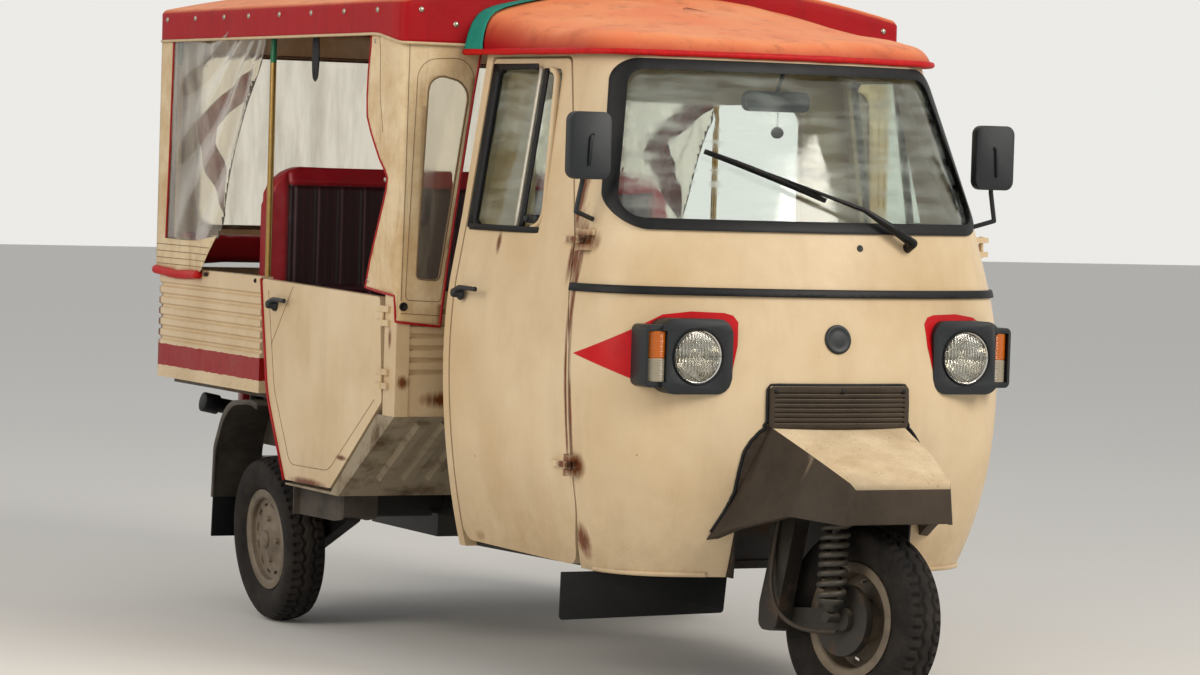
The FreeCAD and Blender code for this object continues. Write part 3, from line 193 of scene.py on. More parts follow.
def road_steel(name, paint, rust, share, slot=None):
    """Painted steel under road dust: rust comes through in patches, dust settles on what faces up."""
    material, tree, shader = finish_of(name, slot, Metallic=0.25)
    place = add(tree, "TexCoord").outputs["Object"]
    patches = add(tree, "TexNoise", Vector=place, Scale=9.0, Detail=8.0, Roughness=0.65)
    worn = add(tree, "MapRange", patches, 0.62 - share, 0.70)
    grit = add(tree, "TexNoise", Vector=place, Scale=120.0, Detail=4.0)
    painted = add(tree, "MixRGB", worn, paint, rust)
    upward = add(tree, "SeparateXYZ", add(tree, "NewGeometry").outputs["Normal"]).outputs["Z"]
    settled = add(tree, "MapRange", upward, 0.1, 1.0, 0.0, 0.55)
    dusted = add(tree, "Math", settled, grit, operation="MULTIPLY")
    feed(shader, Base_Color=add(tree, "MixRGB", dusted, painted, "#8A7A62"),
         Roughness=add(tree, "MapRange", worn, 0.0, 1.0, 0.5, 0.9),
         Normal=add(tree, "Bump", Height=grit, Strength=0.35, Distance=0.002))
    return material


lay(road_steel("black_painted_steel", "#14120F", "#4A3422", 0.06), "chassis_frame", "cab_floor", "rear_suspension")
lay(road_steel("oily_cast_iron", "#2A2824", "#453528", 0.02), "engine_block")
lay(road_steel("forged_steel", "#2E2A25", "#5A4330", 0.05), "fork", "front_link")


# Wheels
# Ten-inch pressed steel rims, painted grey-beige and covered in road dust, with a ring of oval vents and four nuts.
# The cross-ply tyres are carbon-black rubber, moulded with zigzag grooves and worn shoulders.

TYRE_SECTION = [(-0.0367, 0.1290), (-0.0372, 0.1440), (-0.0440, 0.1500), (-0.0530, 0.1640), (-0.0572, 0.1840),
                (-0.0566, 0.2020), (-0.0520, 0.2160), (-0.0462, 0.2250)]
TREAD_HALF = 0.0462
TREAD_CROWN = 0.2350
TREAD_DROP = 0.0100
AROUND = 432
ACROSS = 28
GROOVE_DEEP, SIPE_DEEP = 0.008, 0.0070


def piece_of(name, points, faces, material, body="chassis", slot=None, smooth=True):
    """A mesh piece from its points and faces, with its finish, riding on a CAD body."""
    mesh = bpy.data.meshes.new(name)
    mesh.from_pydata(points, [], faces)
    mesh.polygons.foreach_set("use_smooth", [smooth] * len(mesh.polygons))
    mesh.materials.append(material)
    made = bpy.data.objects.new(name, mesh)
    scene.collection.objects.link(made)
    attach(made, body)
    slot or slot_of[material.name]
    return made


def woven_faces(rows, columns, close_rows=False, close_columns=False, caps=0):
    """Quads over a grid of points stored row by row; caps of 1, or -1 to turn them, close the end rows."""
    faces = []
    for row in range(rows if close_rows else rows - 1):
        here, beyond = row * columns, (row + 1) % rows * columns
        for column in range(columns if close_columns else columns - 1):
            beside = (column + 1) % columns
            faces.append((here + column, beyond + column, beyond + beside, here + beside))
    if caps:
        faces += [tuple(range(columns))[::caps], tuple(range((rows - 1) * columns, rows * columns))[::-caps]]
    return faces


def lathe(name, profile, start, axis, material, around=48, body="chassis"):
    """A round piece: (along the axis, radius) points turned about the axis from its start."""
    turn = Vector(axis).normalized().to_track_quat("Z", "Y").to_matrix()
    points = []
    for step in range(around):
        angle = 2 * math.pi * step / around
        for along, radius in profile:
            points.append(Vector(start) + turn @ Vector((radius * math.cos(angle), radius * math.sin(angle), along)))
    return piece_of(name, points, woven_faces(around, len(profile), close_rows=True), material, body)


def tread_groove(angle, across):
    """How deep the tread is cut at a place: two zigzag grooves and short sipes over the shoulders."""
    zigzag = 0.0048 * (2 / math.pi) * math.asin(math.sin(angle * 36))
    depth = 0.0
    for middle in (-0.016, 0.016):
        away = abs(across - middle - zigzag)
        depth = max(depth, GROOVE_DEEP * min(1.0, max(0.0, (0.0050 - away) / 0.0016)))
    if abs(across) > 0.026:
        sipe = abs((angle * 54 / (2 * math.pi) + 0.25 * math.copysign(1, across)) % 1 - 0.5)
        depth = max(depth, SIPE_DEEP * min(1.0, max(0.0, (0.19 - sipe) / 0.06)))
    return depth


tyre_points = []
for step in range(AROUND):
    angle = 2 * math.pi * step / AROUND
    section = list(TYRE_SECTION)
    for column in range(1, ACROSS):
        across = -TREAD_HALF + 2 * TREAD_HALF * column / ACROSS
        section.append((across, TREAD_CROWN - TREAD_DROP * (across / TREAD_HALF) ** 2 - tread_groove(angle, across)))
    section += [(-across, radius) for across, radius in reversed(TYRE_SECTION)]
    tyre_points += [Vector((across, radius * math.sin(angle), radius * math.cos(angle))) for across, radius in section]


def clouded(name, slot, first, second, scale, detail=6.0, rough=0.5, spread=None, gloss=0.5, shine=0.5, metal=0.0,
            bump=None):
    """A two-tone finish: noise patches, so many to the metre, cloud the first colour into the second."""
    material, tree, shader = finish_of(name, slot, Roughness=gloss, Specular_IOR_Level=shine, Metallic=metal)
    place = add(tree, "TexCoord").outputs["Object"]
    cloud = add(tree, "TexNoise", Vector=place, Scale=scale, Detail=detail, Roughness=rough)
    share = add(tree, "MapRange", cloud, spread[0], spread[1], 0.0, spread[2]) if spread else cloud
    feed(shader, Base_Color=add(tree, "MixRGB", share, first, second))
    if bump:
        feed(shader, Normal=add(tree, "Bump", Height=cloud, Strength=bump[0], Distance=bump[1]))
    return material, tree, shader, place


rubber, tree, shader, place = clouded("dusty_tyre_rubber", "tyre_rubber", "#141211", "#352E27", 14.0, 8.0, 0.7,
                                      (0.38, 0.72, 0.75), 0.82, 0.25)
# Carbon-black rubber: near black in the grooves, brown-grey where dust clings to the walls.
fine = add(tree, "TexNoise", Vector=place, Scale=400.0, Detail=2.0)
feed(shader, Normal=add(tree, "Bump", Height=fine, Strength=0.25, Distance=0.001))

rim_paint, tree, shader = finish_of("dusty_enamel_steel_painted_shade", "rim_steel", Roughness=0.55)
# Stove enamel on steel: a soft shine under dust, with rust at the edges of the vents; its grey-beige is painted darker
# than the paint itself, as painted shade.
place = add(tree, "TexCoord").outputs["Object"]
cloud = add(tree, "TexNoise", Vector=place, Scale=11.0, Detail=7.0, Roughness=0.65)
enamel_and_painted_shade = add(tree, "MixRGB", add(tree, "MapRange", cloud, 0.35, 0.7), "#776A58", "#4C4133")
rust_spots = add(tree, "TexNoise", Vector=place, Scale=55.0, Detail=6.0, Roughness=0.7)
rust_share = add(tree, "MapRange", rust_spots, 0.64, 0.72)
feed(shader, Base_Color=add(tree, "MixRGB", rust_share, enamel_and_painted_shade, "#5A3A24"),
     Normal=add(tree, "Bump", Height=rust_spots, Strength=0.2, Distance=0.0015))

VENTS = 12
VENT_CIRCLE = 0.0985
VENT_LONG = 0.016
VENT_HALF = 0.0048
VENT_STEPS = 16


def vent_cutters(wheel):
    """Rounded slots through the wheel disc, in one mesh."""
    points, faces = [], []
    for number in range(VENTS):
        turn = Matrix.Rotation(2 * math.pi * (number + 0.5) / VENTS, 3, "X")
        ring = []
        for step in range(VENT_STEPS):
            angle = 2 * math.pi * step / VENT_STEPS
            along = math.copysign(VENT_LONG / 2, math.cos(angle)) if abs(math.cos(angle)) > 1e-6 else 0.0
            ring.append((along + VENT_HALF * math.cos(angle), VENT_CIRCLE + VENT_HALF * math.sin(angle)))
        first, last = len(points), len(points) + VENT_STEPS
        points += [wheel @ (turn @ Vector((depth, y, z))) for depth in (-0.04, 0.06) for y, z in ring]
        faces += [tuple(range(first, last))[::-1], tuple(range(last, last + VENT_STEPS))]
        faces += [(first + step, first + (step + 1) % VENT_STEPS, last + (step + 1) % VENT_STEPS, last + step)
                  for step in range(VENT_STEPS)]
    mesh = bpy.data.meshes.new("vents")
    mesh.from_pydata(points, [], faces)
    return bpy.data.objects.new("vents", mesh)


def copy_of(node, name):
    """A copy of a CAD node's mesh as a new piece, its split corners welded, to be softened or cut."""
    mesh = cad[node].data.copy()
    work = bmesh.new()
    work.from_mesh(mesh)
    bmesh.ops.remove_doubles(work, verts=work.verts, dist=1e-5)
    bmesh.ops.dissolve_limit(work, angle_limit=math.radians(0.5), verts=work.verts, edges=work.edges)
    work.to_mesh(mesh)
    work.free()
    made = bpy.data.objects.new(name, mesh)
    scene.collection.objects.link(made)
    return made


def smoothed(made):
    """Shades a piece's faces smoothly."""
    made.data.polygons.foreach_set("use_smooth", [True] * len(made.data.polygons))


def soften(made, width, angle=40):
    """Rounds a piece's hard edges as pressing, moulding or paint does."""
    bevel = made.modifiers.new("edge", "BEVEL")
    bevel.width = width
    bevel.segments = 2
    bevel.limit_method = "ANGLE"
    bevel.angle_limit = math.radians(angle)
    bevel.harden_normals = True
    smoothed(made)


def settle(made):
    """Turns a piece's modifiers into plain mesh."""
    shaped = bpy.data.meshes.new_from_object(made.evaluated_get(bpy.context.evaluated_depsgraph_get()))
    made.modifiers.clear()
    made.data = shaped


def stand_for(made, node, material):
    """Puts a piece with its finish on a CAD node's body, in that node's place."""
    cover(made, material)
    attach(made, body_of(cad[node])[0])
    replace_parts(made, node)


for wheel, tyre_node, rim_node, outward in (
        ("front_wheel", "front_tyre", "front_rim", 1), ("rear_wheel_right", "rear_tyre_right", "rear_rim_right", -1),
        ("rear_wheel_left", "rear_tyre_left", "rear_rim_left", 1)):
    axle = Vector(joints[wheel + "_spin"]["axis"]).normalized()
    ahead = Vector((0, 0, 1)).cross(axle).normalized()
    wheel_place = (Matrix.Translation(Vector(joints[wheel + "_spin"]["pos_m"]))
                   @ Matrix((axle, ahead, axle.cross(ahead))).transposed().to_4x4())
    tyre = piece_of(wheel + "_tread", tyre_points, woven_faces(AROUND, len(section), close_rows=True), rubber, wheel)
    tyre.matrix_world = wheel_place
    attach(tyre, wheel)
    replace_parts(tyre, tyre_node)

    disc = copy_of(rim_node, wheel + "_disc")
    cutter = vent_cutters(wheel_place)
    scene.collection.objects.link(cutter)
    cut = disc.modifiers.new("vents", "BOOLEAN")
    cut.operation = "DIFFERENCE"
    cut.solver = "EXACT"
    cut.object = cutter
    soften(disc, 0.0012, 35)
    settle(disc)
    bpy.data.objects.remove(cutter)
    stand_for(disc, rim_node, rim_paint)
    lathe(wheel + "_dust_cap", [(-0.006, 0.0262), (0.002, 0.0262), (0.0075, 0.0235), (0.0105, 0.0165), (0.0118, 0.0)],
          wheel_place @ Vector((outward * 0.0402, 0, 0)), axle * outward, rim_paint, 32, wheel)


# Steering
# One forged leg stands beside the front wheel, with a leading link, a coil spring over a damper, and a drum brake.
# Its inner cable comes down in a spiral-wound sheath, clipped at the leg and let into the brake plate.

COIL_TURNS = 9
COIL_WIRE = 0.0075
COIL_RADIUS = 0.0305
COIL_STEPS = COIL_TURNS * 20
COIL_FOOT = 0.048
STEERED = 13.8
steer_pivot = Vector(joints["steering"]["pos_m"])
steered = (Matrix.Translation(steer_pivot)
           @ Matrix.Rotation(math.radians(STEERED), 4, Vector(joints["steering"]["axis"]))
           @ Matrix.Translation(-steer_pivot))

spring_foot = steered @ Vector((-0.112, -1.360, joints["front_wheel_spin"]["pos_m"][2] + 0.006))
spring_head = steered @ Vector((-0.112, -1.352, 0.515))
spring_way = (spring_head - spring_foot).normalized()
spring_long = (spring_head - spring_foot).length
spring_frame = Matrix.Translation(spring_foot) @ spring_way.to_track_quat("Z", "Y").to_matrix().to_4x4()
spring_steel = road_steel("dusty_spring_steel", "#3B3832", "#5B4732", 0.05, "dark_steel")


def swept(name, route, radius, material, around=10, body="chassis", slot=None, ends=True):
    """A round bar or wire along a route of points, with a radius that may change from point to point."""
    radii = radius if isinstance(radius, list) else [radius] * len(route)
    points = []
    across = None
    for index, here in enumerate(route):
        along = (route[min(index + 1, len(route) - 1)] - route[max(index - 1, 0)]).normalized()
        if across is None:
            across = along.orthogonal().normalized()
        across = (across - along * across.dot(along)).normalized()
        third = along.cross(across)
        for step in range(around):
            angle = 2 * math.pi * step / around
            points.append(here + (across * math.cos(angle) + third * math.sin(angle)) * radii[index])
    faces = woven_faces(len(route), around, close_columns=True, caps=int(ends))
    return piece_of(name, points, faces, material, body, slot)


coil_head = spring_long - 0.008
coil_route = []
for step in range(COIL_STEPS + 1):
    share = step / COIL_STEPS
    angle = 2 * math.pi * COIL_TURNS * share
    rise = COIL_FOOT + (coil_head - COIL_FOOT) * (share + 0.018 * math.sin(2 * math.pi * share))
    coil_route.append(spring_frame @ Vector((COIL_RADIUS * math.cos(angle), COIL_RADIUS * math.sin(angle), rise)))
swept("front_coil_spring", coil_route, COIL_WIRE, spring_steel, 10, "fork")
damper = lathe("front_damper",
               [(0.0135, 0.0), (0.0135, 0.015), (0.030, 0.017), (0.036, 0.0315), (0.042, 0.0325), (0.044, 0.0325),
                (0.045, 0.0165), (0.150, 0.0165), (0.151, 0.0105), (coil_head, 0.0105), (coil_head, 0.0325),
                (spring_long - 0.001, 0.0325), (spring_long - 0.001, 0.0)],
               spring_foot, spring_way, spring_steel, body="fork")
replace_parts(damper, "front_shock")

CABLE_RADIUS = 0.0060
CABLE_POINTS = [(-0.1425, -1.1946, 0.530), (-0.143, -1.1806, 0.478), (-0.144, -1.1746, 0.420), (-0.148, -1.1766, 0.362),
                (-0.156, -1.1866, 0.306), (-0.162, -1.2126, 0.256), (-0.162, -1.2566, 0.222), (-0.148, -1.3046, 0.206),
                (-0.122, -1.3446, 0.204), (-0.0925, -1.3666, 0.208)]
cable_sheath = clouded("spiral_wound_sheath", "cable_sheath", "#2B2620", "#4C4236", 40.0, 5.0, gloss=0.6, shine=0.3)[0]
# PVC over a wound steel spiral: dull black-brown, clouded with dust.

route_curve = bpy.data.curves.new("cable_route", "CURVE")
route_curve.dimensions = "3D"
route_curve.resolution_u = 24
spline = route_curve.splines.new("NURBS")
spline.points.add(len(CABLE_POINTS) - 1)
for control, point in zip(spline.points, CABLE_POINTS):
    control.co = (*(steered @ Vector(point)), 1.0)
spline.order_u = 3
spline.use_endpoint_u = True
route_object = bpy.data.objects.new("cable_route", route_curve)
cable_line = [vertex.co.copy() for vertex in bpy.data.meshes.new_from_object(route_object).vertices]
bpy.data.objects.remove(route_object)


def spaced(route, step):
    """Points at even steps along a route."""
    even = [route[0].copy()]
    left = step
    for start, end in zip(route, route[1:]):
        length = (end - start).length
        gone = 0.0
        while length - gone >= left:
            gone += left
            even.append(start.lerp(end, gone / length))
            left = step
        left -= length - gone
    return even


cable_even = spaced(cable_line, 0.0012)
cable_long = sum((b - a).length for a, b in zip(cable_even, cable_even[1:]))
cable_radii = [CABLE_RADIUS - (0.0007 if step % 3 == 0 else 0.0) for step in range(len(cable_even))]
cable = swept("front_brake_cable", cable_even, cable_radii, cable_sheath, 14, "fork")
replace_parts(cable, "brake_cable")
tuple(cable_line[0])


# Cab shell
# One welded shell of pressed sheet steel, sprayed in cream enamel decades ago and touched up by brush since.
# Rust runs from the hinges and seams, the enamel is painted darker brown towards the bottom, and it has crazed and
# chipped.

CREAM = "#D8C29F"
CREAM_DEEP = "#C8AE87"


def enamel(name, stains=(), red_band=None, darkening_top=0.62):
    """Cream enamel on steel: soft gloss, cloudy tint, mottled brown darkening from darkening_top down, rust where the
    stains' ellipsoids are.
    """
    material, tree, shader = finish_of(name, "cream_paint", Specular_IOR_Level=0.25)
    place = add(tree, "TexCoord").outputs["Object"]
    height = add(tree, "SeparateXYZ", place).outputs["Z"]
    broad = add(tree, "TexNoise", Vector=place, Scale=3.1, Detail=6.0, Roughness=0.6)
    result = add(tree, "MixRGB", add(tree, "MapRange", broad, 0.35, 0.68), CREAM, CREAM_DEEP)
    if red_band:
        ragged = add(tree, "TexNoise", Vector=place, Scale=30.0, Detail=4.0)
        shifted = add(tree, "Math", ragged, 0.008, height, operation="MULTIPLY_ADD")
        over = add(tree, "Math", shifted, red_band[0] + 0.004, operation="GREATER_THAN")
        under = add(tree, "Math", shifted, red_band[1] + 0.004, operation="LESS_THAN")
        result = add(tree, "MixRGB", add(tree, "Math", over, under, operation="MULTIPLY"), result, "#8E0408")
    runs_place = add(tree, "Mapping", Vector=place, Scale=(12.0, 12.0, 2.2))
    runs = add(tree, "TexNoise", Vector=runs_place, Scale=1.0, Detail=7.0, Roughness=0.62)
    result = add(tree, "MixRGB", add(tree, "MapRange", runs, 0.50, 0.78, 0.0, 0.15), result, "#8E734F")
    # Mottled brown darkening towards the bottom, from darkening_top down.
    low = add(tree, "MapRange", height, darkening_top, 0.30, 0.0, 0.6)
    mottled = add(tree, "TexNoise", Vector=place, Scale=16.0, Detail=8.0, Roughness=0.7)
    result = add(tree, "MixRGB", add(tree, "Math", low, mottled, operation="MULTIPLY"), result, "#6E5030")
    chips = add(tree, "TexNoise", Vector=place, Scale=85.0, Detail=5.0, Roughness=0.6)
    result = add(tree, "MixRGB", add(tree, "MapRange", chips, 0.715, 0.76), result, "#5E3A22")
    for centre, reach in stains:
        shifted = add(tree, "VectorMath", place, centre, operation="SUBTRACT")
        scaled = add(tree, "VectorMath", shifted, reach, operation="DIVIDE")
        away = add(tree, "VectorMath", scaled, operation="LENGTH").outputs["Value"]
        near = add(tree, "MapRange", away, 1.0, 0.15)
        drip_place = add(tree, "Mapping", Vector=place, Scale=(90.0, 90.0, 9.0))
        drips = add(tree, "TexNoise", Vector=drip_place, Scale=1.0, Detail=8.0, Roughness=0.7)
        stain = add(tree, "MapRange", add(tree, "Math", near, drips, operation="MULTIPLY"), 0.14, 0.42)
        result = add(tree, "MixRGB", stain, result, add(tree, "MixRGB", drips, "#24130A", "#8A4A1E"))
    dents = add(tree, "TexNoise", Vector=place, Scale=7.0, Detail=2.0)
    waves = add(tree, "Bump", Height=dents, Strength=0.22, Distance=0.012)
    feed(shader, Base_Color=result, Roughness=add(tree, "MapRange", mottled, 0.3, 0.7, 0.30, 0.48),
         Normal=add(tree, "Bump", Height=chips, Strength=0.12, Distance=0.001, Normal=waves))
    return material


cab_enamel = enamel("cream_enamel_cab", (
    ((-0.560, -0.905, 1.10), (0.08, 0.045, 0.18)), ((-0.585, -0.952, 1.147), (0.09, 0.06, 0.05)),
    ((-0.545, -0.870, 1.25), (0.07, 0.035, 0.22)), ((-0.575, -0.925, 0.97), (0.07, 0.019, 0.34)),
    ((-0.600, -0.930, 0.70), (0.07, 0.014, 0.30)), ((-0.595, -0.952, 0.589), (0.09, 0.06, 0.05)),
    ((-0.540, -0.925, 0.40), (0.08, 0.05, 0.07)), ((0.240, -1.17, 1.155), (0.03, 0.05, 0.035)),
    ((-0.400, -1.15, 1.12), (0.02, 0.05, 0.05)), ((-0.300, -1.17, 1.135), (0.012, 0.05, 0.03)),
    ((0.580, -0.925, 0.97), (0.05, 0.022, 0.30))))
lay(cab_enamel, "cab_front", "cab_rear_wall", "cab_roof")

cab_skin = BVHTree.FromObject(cad["cab_front"], bpy.context.evaluated_depsgraph_get())
AHEAD_OF_NOSE = -1.2
REARWARD = Vector((0, 1, 0))
DECAL_STEP, DECAL_PROUD = 0.012, 0.0007


def on_cab(point, way, proud):
    """Where a ray through the point meets the cab, lifted off it a little, and the skin's normal there."""
    way = Vector(way)
    hit, normal, _, _ = cab_skin.ray_cast(Vector(point) - way * 2.0, way)
    if hit is None:
        return None, None
    if normal.dot(way) > 0:
        normal = -normal
    return hit + normal * proud, normal


def cut_fine(work, outline, step):
    """Divides a flat face lying within the outline along a square grid."""
    for axis, across in enumerate(((1, 0, 0), (0, 1, 0))):
        low = min(point[axis] for point in outline)
        high = max(point[axis] for point in outline)
        for number in range(1, int((high - low) / step) + 1):
            bmesh.ops.bisect_plane(work, geom=work.verts[:] + work.edges[:] + work.faces[:],
                                   plane_co=Vector(across) * (low + number * step), plane_no=across)


def piece_from(work, name, material):
    """A piece of the vehicle's body from a mesh that is being worked on."""
    work.normal_update()
    made = piece_of(name, [], [], material)
    work.to_mesh(made.data)
    work.free()
    smoothed(made)
    return made


def decal(name, outline, sideways, way, material):
    """A painted patch: an outline in a plane across the ray, cut fine and laid onto the cab."""
    work = bmesh.new()
    work.faces.new([work.verts.new((across, up, 0)) for across, up in outline])
    cut_fine(work, outline, DECAL_STEP)
    bmesh.ops.triangulate(work, faces=[face for face in work.faces if len(face.verts) > 4])
    missed = []
    for vertex in work.verts:
        laid, _ = on_cab(Vector(sideways) * vertex.co.x + Vector((0, 0, vertex.co.y)), way, DECAL_PROUD)
        if laid is None:
            missed.append(vertex)
        else:
            vertex.co = laid
    bmesh.ops.delete(work, geom=missed, context="VERTS")
    return piece_from(work, name, material)


SIDES = ((-1, "right"), (1, "left"))
for side, name in SIDES:
    lip_route = []
    for number in range(45):
        turn = math.radians(3 + 64 * number / 44)
        laid, _ = on_cab((side * 0.20, -0.90, 0.3315), (-side * math.cos(turn), math.sin(turn), 0.0), 0.0015)
        if laid is not None and laid.y < -0.925 and abs(laid.x) > 0.30:
            lip_route.append(laid)
    swept("sill_lip_" + name, lip_route, 0.0062, cab_enamel)

red_enamel = clouded("red_brushed_enamel", "cream_paint", "#A90A10", "#CC1119", 22.0, gloss=0.38, shine=0.2)[0]
# Alkyd enamel laid on by brush: strong red with a low gloss, a little darker where it runs thin.

FLASH = [(-0.106, 0.867), (0.043, 0.812), (0.170, 0.785), (0.262, 0.790), (0.284, 0.832), (0.297, 0.900),
         (0.297, 0.957), (0.284, 0.973), (0.262, 0.979), (0.180, 0.981), (0.111, 0.972), (0.039, 0.935)]
for side, name in SIDES:
    decal("red_flash_" + name, FLASH, (-side * math.cos(view_yaw), -math.sin(view_yaw), 0.0),
          (-side * math.sin(view_yaw), math.cos(view_yaw), 0.0), red_enamel)

black_plastic, tree, shader, place = clouded("weathered_black_polypropylene", "black_plastic", "#0D1114", "#1B2125",
                                             8.0, 7.0, gloss=0.45, shine=0.4)
# Moulded polypropylene: fine grain, dull black gone slightly grey in the sun.
grain = add(tree, "TexVoronoi", Vector=place, Scale=900.0)
feed(shader, Normal=add(tree, "Bump", Height=grain, Strength=0.15, Distance=0.0006))

lathe("nose_plug", [(-0.002, 0.0365), (0.003, 0.0365), (0.0052, 0.0345), (0.0058, 0.029), (0.0046, 0.027),
                    (0.0062, 0.018), (0.0066, 0.0)],
      *on_cab((-0.005, AHEAD_OF_NOSE, 0.918), REARWARD, 0.0), black_plastic)
lathe("cowl_grommet", [(-0.001, 0.0085), (0.0025, 0.0085), (0.0034, 0.0065), (0.0020, 0.0045), (0.0015, 0.0)],
      *on_cab((0.088, AHEAD_OF_NOSE, 1.1425), REARWARD, 0.0), black_plastic, 20)


# Windscreen
# One curved pane of laminated glass held in a black rubber channel, with a wiper on a rusty pivot below it.
# The glass is faintly green, hazed with road film and swept clear in the wiper's arc; a mirror hangs behind it.

black_rubber = clouded("weathered_epdm_rubber", "black_rubber", "#0A0B0D", "#1A1B1D", 20.0, 7.0, 0.7,
                       (0.45, 0.75, 0.5), 0.5, 0.25)[0]
# Extruded EPDM rubber: matt black, chalky grey in patches.


def softened(node, name, material, width):
    """A softened copy that stands for a CAD node, on the same body."""
    made = copy_of(node, name)
    soften(made, width)
    stand_for(made, node, material)


softened("windscreen_seal", "windscreen_rubber", black_rubber, 0.0025)
softened("belt_trim", "belt_strip", black_rubber, 0.003)


def sheet_glass(name, tint, haze):
    """Float glass: clear with a faint tint, hazed by a film of dust."""
    material, tree, shader = finish_of(name, Base_Color=tint, IOR=1.45)
    place = add(tree, "TexCoord").outputs["Object"]
    film = add(tree, "TexNoise", Vector=place, Scale=5.0, Detail=9.0, Roughness=0.72)
    wiped_place = add(tree, "Mapping", Vector=place, Scale=(3.0, 3.0, 18.0))
    wiped = add(tree, "TexNoise", Vector=wiped_place, Scale=2.0, Detail=6.0)
    both = add(tree, "Math", film, wiped, operation="MULTIPLY")
    share = add(tree, "MapRange", both, 0.18, 0.45, 0.0, haze)
    feed(shader, Transmission_Weight=add(tree, "Math", 1.0, share, operation="SUBTRACT"),
         Roughness=add(tree, "MapRange", both, 0.18, 0.45, 0.0, 0.16))
    return material


lay(sheet_glass("laminated_glass", "#EAF3EC", 0.16), "windscreen_glass")
lay(sheet_glass("toughened_glass", "#E4ECE2", 0.22), "door_glass_right", "door_glass_left")

wiper_steel = clouded("black_lacquered_steel", "black_plastic", "#121212", "#4A3525", 60.0, 6.0, 0.7,
                      (0.58, 0.70, 1.0), 0.4, 0.3, 0.3)[0]
# Lacquered spring steel with rubber: black, scratched through to brown at the joints.

SCREEN_LOW = Vector((0, -1.145, 1.186))
SCREEN_RISE = Vector((0, -0.930, 1.610)) - SCREEN_LOW
NOSE_BOW = 2.4
BLADE_STEPS = 16


def before_screen(x, height, proud):
    """A point in front of the windscreen, which is an arc in plan and leans back."""
    nose = SCREEN_LOW.y + (height - SCREEN_LOW.z) / SCREEN_RISE.z * SCREEN_RISE.y
    return Vector((x, nose + x * x / NOSE_BOW - proud, height))


def blade(foot, proud):
    """A route along the wiper's blade."""
    return [before_screen(0.008 - 0.297 * step / BLADE_STEPS, foot + 0.114 * step / BLADE_STEPS, proud)
            for step in range(BLADE_STEPS + 1)]


arm_route = [before_screen(*spot) for spot in ((0.238, 1.158, 0.024), (0.170, 1.200, 0.030), (0.107, 1.238, 0.027),
                                               (-0.020, 1.280, 0.022), (-0.140, 1.322, 0.017))]
arm = swept("wiper_arm", arm_route, [0.0125, 0.0105, 0.0065, 0.0045, 0.0040], wiper_steel)
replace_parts(arm, "wiper")
bridge = blade(1.262, 0.0125)
swept("wiper_bridge", bridge, [0.0030 + 0.0040 * math.sin(math.pi * step / BLADE_STEPS)
                               for step in range(BLADE_STEPS + 1)], wiper_steel, 8)
swept("wiper_rubber", blade(1.2585, 0.0065), 0.0058, black_rubber, 8)
lathe("wiper_pivot_cap", [(-0.030, 0.013), (0.000, 0.013), (0.006, 0.0115), (0.010, 0.007), (0.011, 0.0)],
      arm_route[0], (0.0, -SCREEN_RISE.z, SCREEN_RISE.y), wiper_steel, 24)
for share in (28, 72):
    lathe(f"wiper_claw_{share}", [(-0.006, 0.0), (-0.006, 0.006), (0.006, 0.006), (0.006, 0.0)],
          bridge[round(BLADE_STEPS * share / 100)], bridge[-1] - bridge[0], wiper_steel, 16)


# Head lamps and indicators
# Black moulded housings hold fluted glass lenses over pressed, chromed bowls, with a small bulb in each.
# Beside each is a two-colour indicator lens of ribbed acrylic, amber above and clear below.

softened("lamp_housings", "lamp_bezels", black_plastic, 0.006)
LAMP = Vector((0.383, -1.200, 0.873))
LENS_RADIUS = 0.0665
BOWL_DEEP = 0.062
FLUTE = 0.0084
RINGS, SPOKES = 44, 120

chrome = clouded("aged_chrome_plate", "lamp_glass", "#E4E5E6", "#B7AE9E", 26.0, gloss=0.08, metal=1.0)[0]
# Vacuum-plated chrome: a sharp mirror, clouded brown in places by damp.

lens_glass = finish_of("fluted_lamp_glass", "lamp_glass", Base_Color="#F4F4EE", Transmission_Weight=1.0,
                       Roughness=0.04, IOR=1.5)[0]
# Pressed soda glass: water-clear, its light bent by flutes on the face.


def lens_point(ring, angle):
    """The lens face from its middle: a shallow dome with upright flutes across its middle."""
    share = ring / RINGS
    x, z = LENS_RADIUS * share * math.cos(angle), LENS_RADIUS * share * math.sin(angle)
    fade = min(1.0, max(0.0, (0.90 - share) / 0.1))
    flute = 0.0024 * fade * math.cos(2 * math.pi * x / FLUTE) * (1.0 if abs(z) < 0.040 else 0.35)
    return Vector((x, 0.006 - 0.014 * (1 - share ** 2) - flute, z))


for side, name in SIDES:
    lamp_at = Vector((side * LAMP.x, LAMP.y, LAMP.z))
    points = [lamp_at + lens_point(ring, 2 * math.pi * spoke / SPOKES) for ring in range(1, RINGS + 1)
              for spoke in range(SPOKES)]
    points += [points[(ring - 1) * SPOKES + spoke] + Vector((0, 0.003, 0)) for ring in range(RINGS, 0, -1)
               for spoke in range(SPOKES)]
    faces = woven_faces(2 * RINGS, SPOKES, close_columns=True, caps=-1)
    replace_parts(piece_of("head_lens_" + name, points, faces, lens_glass), "headlamp_lenses")
    bowl = [(0.0045 + BOWL_DEEP * (share / 20) ** 2, 0.0625 * share / 20) for share in range(21)]
    for part, profile, deep, material, around in (
            ("bowl", bowl + [(BOWL_DEEP + 0.006, 0.0655)], 0.070, chrome, 64),
            ("ring", [(0.0, 0.0650), (0.004, 0.0690), (0.007, 0.0695), (0.0085, 0.0675), (0.004, 0.0645)], 0.004,
             black_rubber, 64),
            ("bulb", [(0.0, 0.009), (0.022, 0.009), (0.024, 0.0065), (0.038, 0.0075), (0.044, 0.005), (0.046, 0.0)],
             0.064, chrome, 24)):
        lathe(f"lamp_{part}_{name}", profile, lamp_at + Vector((0, deep, 0)), -REARWARD, material, around)

